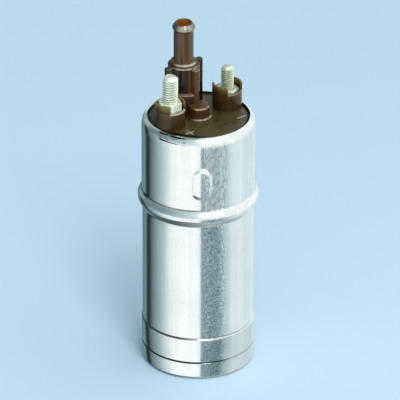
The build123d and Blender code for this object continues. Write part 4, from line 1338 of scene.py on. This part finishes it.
def stud(name, cover, terminals, centre, radius, collar, height, pitch):
    """A stud: its threaded end, cut to a rounded tip, over its plain shank and head."""
    under = cover.face - cover.thickness
    head_low = under - terminals.head_height
    top, point = collar + height, radius * terminals.point
    groove, groove_top = radius - 0.4 * MM, collar + 0.9 * MM
    outside = radius + 0.02 * MM    # clear of the thread's crests
    envelope = [
        (0, collar + 0.3 * MM, 0),
        (radius - 0.05 * MM, collar + 0.3 * MM, 0),
        (outside, groove_top, 0),
        (outside, top - point, 0.5 * MM),
        (radius - point, top, 0.7 * MM),
        (0, top, 0),
    ]
    shank = [
        (0, head_low, 0),
        (terminals.head_radius, head_low, 0.2 * MM),
        (terminals.head_radius, under, 0.1 * MM),
        (radius, under, 0),
        (radius, collar, 0),
        (groove, collar + 0.1 * MM, 0),
        (groove, groove_top, 0),
        (0, groove_top, 0),
    ]
    threaded = thread(name, centre, radius, pitch, collar - 2 * pitch, top + pitch)
    combine(threaded, lathe("tip", rounded(envelope, 6), 72, centre), "INTERSECT")
    combine(threaded, lathe(name + "_shank", rounded(shank), 72, centre), "UNION")
    return settle(threaded, smooth=math.radians(38))


def hex_collar(name, cover, terminals, centre, radius, top, turn):
    """A hex collar, its upper corners turned down as on a nut."""
    low = cover.face + cover.shroud_floor
    flat, corner = terminals.collar_flats / 2, terminals.collar_flats / math.sqrt(3)
    deselect()
    bpy.ops.mesh.primitive_cylinder_add(
        vertices=6,
        radius=corner,
        depth=top - low,
        location=(*centre, (low + top) / 2),
        rotation=(0, 0, LAYOUT_TURN + turn + math.pi / 2),
    )
    piece = bpy.context.active_object
    piece.name = piece.data.name = name
    edit()
    choose(piece, lambda line: abs(line.verts[0].co.z - line.verts[1].co.z) > MM, "edges")
    bpy.ops.mesh.bevel(offset=0.12 * MM, segments=2, affect="EDGES")
    settle(piece)
    bore, foot = radius + 0.05 * MM, low - MM
    crown = [
        (bore, foot),
        (corner + MM, foot),
        (corner + MM, top - 0.9 * MM),
        (flat * 0.93, top),
        (bore + 0.3 * MM, top),
        (bore, top - 0.3 * MM),
    ]
    combine(piece, lathe("crown", crown, 96, centre), "INTERSECT")
    return settle(piece, smooth=math.radians(28))


class FUELPUMP_OT_terminals(bpy.types.Operator):
    """Models the two threaded studs and their hex collars"""

    bl_idname = "fuelpump.terminals"
    bl_label = "Terminals"

    def execute(self, context):
        cover, terminals = context.scene.fuel_pump_cover, context.scene.fuel_pump_terminals
        for side, sign in SIDES:
            centre = turned_to_layout(side * cover.terminal_offset, 0)
            radius, height, pitch, rise, turn = stud_sizes(terminals, sign)
            top = cover.face + cover.shroud_floor + rise
            name = "threaded_stud_" + sign
            threaded = stud(name, cover, terminals, centre, radius, top, height, pitch)
            stand_for(threaded, "stud_" + sign, "zinc_plate")
            name = "hex_collar_" + sign
            collar = hex_collar(name, cover, terminals, centre, radius, top, turn)
            stand_for(collar, "collar_" + sign, "zinc_plate")
        return {"FINISHED"}


class FUELPUMP_OT_inside(bpy.types.Operator):
    """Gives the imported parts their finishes"""

    bl_idname = "fuelpump.inside"
    bl_label = "Inner parts"

    def execute(self, context):
        parts = frame["record"]["subparts"]
        slots = {part["node"]: part["material_slot"] for part in parts}
        for name, piece in frame["nodes"].items():
            if not piece.hide_render:
                dress(piece, slots[name])
        return {"FINISHED"}


# Studio

def studio_world(world, background):
    """Soft boxes round the pump, by direction. The camera sees the plain pale backdrop."""
    graph = Graph(world)
    direction = graph.node("ShaderNodeTexCoord", output="Generated")
    x, y, z = graph.axes(direction)
    turn = x.math("ARCTAN2", y * -1) / FULL_TURN + 0.5
    low, high = (
        graph.ramp(turn, [(0.5 + degrees / 360, tint) for degrees, tint in sky])
        for sky in (SKY_LOW, SKY_HIGH)
    )
    raised = graph.spread(x, -0.15, 0.1, 0.24, 0)
    level = graph.spread(z - raised, -0.40, -0.08, smooth=True)
    sky = graph.mix(level, low, high)
    ground = graph.mix(graph.spread(x, -0.42, 0.15), GROUND_LEFT, GROUND_RIGHT)
    sky = graph.mix(graph.spread(z, -0.86, -0.66, 1, 0, smooth=True), sky, ground)
    behind = graph.spread(abs(turn - 0.5), 0.43, 0.46) * graph.window(z, -0.1, 0.2, 0.06)
    sky = graph.mix(behind, sky, GLOW_BEHIND)
    lights, backdrop = (
        graph.node("ShaderNodeBackground", {}, {"Color": tint, "Strength": 1.0})
        for tint in (sky, (*background, 1))
    )
    seen = graph.node("ShaderNodeLightPath", output="Is Camera Ray")
    both = graph.node("ShaderNodeMixShader", {}, {0: seen, 1: lights, 2: backdrop})
    graph.node("ShaderNodeOutputWorld", {}, {"Surface": both})


def floor_finish(graph, tint):
    """Plain pale floor, a little clouded."""
    cloud = graph.noise(graph.position(), 3)
    body = graph.mix(graph.spread(cloud, 0.3, 0.7), tint, dimmed(tint, 0.985))
    graph.surface(Base_Color=body, Roughness=0.9, Specular_IOR_Level=0.0)


def soft_box(name, place, aim, width, height, power):
    """A square-cornered lamp that looks at a point and that the camera doesn't see."""
    deselect()
    bpy.ops.object.light_add(type="AREA", location=place)
    lamp = bpy.context.active_object
    lamp.name = name
    lamp.data.shape = "RECTANGLE"
    lamp.data.size, lamp.data.size_y = width, height
    lamp.data.energy = power
    lamp.visible_camera = False
    lamp.rotation_euler = (aim - place).to_track_quat("-Z", "Y").to_euler()


class FUELPUMP_OT_studio(bpy.types.Operator):
    """Sets up the floor, the lights and the camera"""

    bl_idname = "fuelpump.studio"
    bl_label = "Studio"

    def execute(self, context):
        studio = context.scene.fuel_pump_studio
        deselect()
        bpy.ops.mesh.primitive_circle_add(
            vertices=64, radius=studio.floor_radius, fill_type="NGON", location=(0, 0, 0)
        )
        floor = context.active_object
        floor.name = "floor"
        made = bpy.data.materials.new("floor")
        floor_finish(Graph(made), tuple(studio.floor))
        floor.data.materials.append(made)
        floor.visible_glossy = False

        world = bpy.data.worlds.new("studio")
        context.scene.world = world
        studio_world(world, tuple(studio.floor))
        key = Vector((math.sin(studio.key_side), -math.cos(studio.key_side), 0))
        key = key * math.cos(studio.key_rise) + Vector((0, 0, math.sin(studio.key_rise)))
        middle = Vector((0, 0, studio.key_height))
        place = middle + key * studio.key_distance
        soft_box("key_light", place, middle, studio.key_width, studio.key_length, studio.key_power)

        aim = Vector((studio.aim_side, 0, studio.aim_height))
        back = Vector((0, -math.cos(studio.elevation), math.sin(studio.elevation)))
        bpy.ops.object.camera_add(location=aim + back * studio.distance)
        camera = context.active_object
        tilt = Matrix.Rotation(math.pi / 2 - studio.elevation, 3, "X")
        camera.rotation_euler = (tilt @ Matrix.Rotation(studio.roll, 3, "Z")).to_euler()
        camera.data.lens = studio.lens
        camera.data.sensor_width = 36
        camera.data.clip_start, camera.data.clip_end = 0.05, 20
        context.scene.camera = camera
        context.scene.view_settings.view_transform = "Standard"
        return {"FINISHED"}


class FUELPUMP_PT_panel(bpy.types.Panel):
    """The pump's sizes and the steps that build it"""

    bl_idname = "FUELPUMP_PT_panel"
    bl_label = "Fuel pump"
    bl_space_type = "VIEW_3D"
    bl_region_type = "UI"
    bl_category = "Fuel pump"

    def draw(self, context):
        column = self.layout.column()
        for step in OPERATORS:
            column.operator(step.bl_idname)
        for name, group in SETTINGS.items():
            box = self.layout.box()
            box.label(text=group.__name__)
            for size in group.__annotations__:
                box.prop(getattr(context.scene, name), size)


OPERATORS = (
    FUELPUMP_OT_can,
    FUELPUMP_OT_cup,
    FUELPUMP_OT_cover,
    FUELPUMP_OT_outlet,
    FUELPUMP_OT_terminals,
    FUELPUMP_OT_inside,
    FUELPUMP_OT_studio,
)


def register():
    for group in SETTINGS.values():
        bpy.utils.register_class(group)
    for kind in (*OPERATORS, FUELPUMP_PT_panel):
        bpy.utils.register_class(kind)
    for name, group in SETTINGS.items():
        setattr(bpy.types.Scene, name, PointerProperty(type=group))


def unregister():
    for name in SETTINGS:
        delattr(bpy.types.Scene, name)
    for kind in (FUELPUMP_PT_panel, *reversed(OPERATORS)):
        bpy.utils.unregister_class(kind)
    for group in SETTINGS.values():
        bpy.utils.unregister_class(group)


def main():
    register()
    bpy.ops.fuelpump.can()
    bpy.ops.fuelpump.cup()
    bpy.ops.fuelpump.cover()
    bpy.ops.fuelpump.outlet()
    bpy.ops.fuelpump.terminals()
    bpy.ops.fuelpump.inside()
    bpy.ops.fuelpump.studio()


if __name__ == "__main__":
    main()
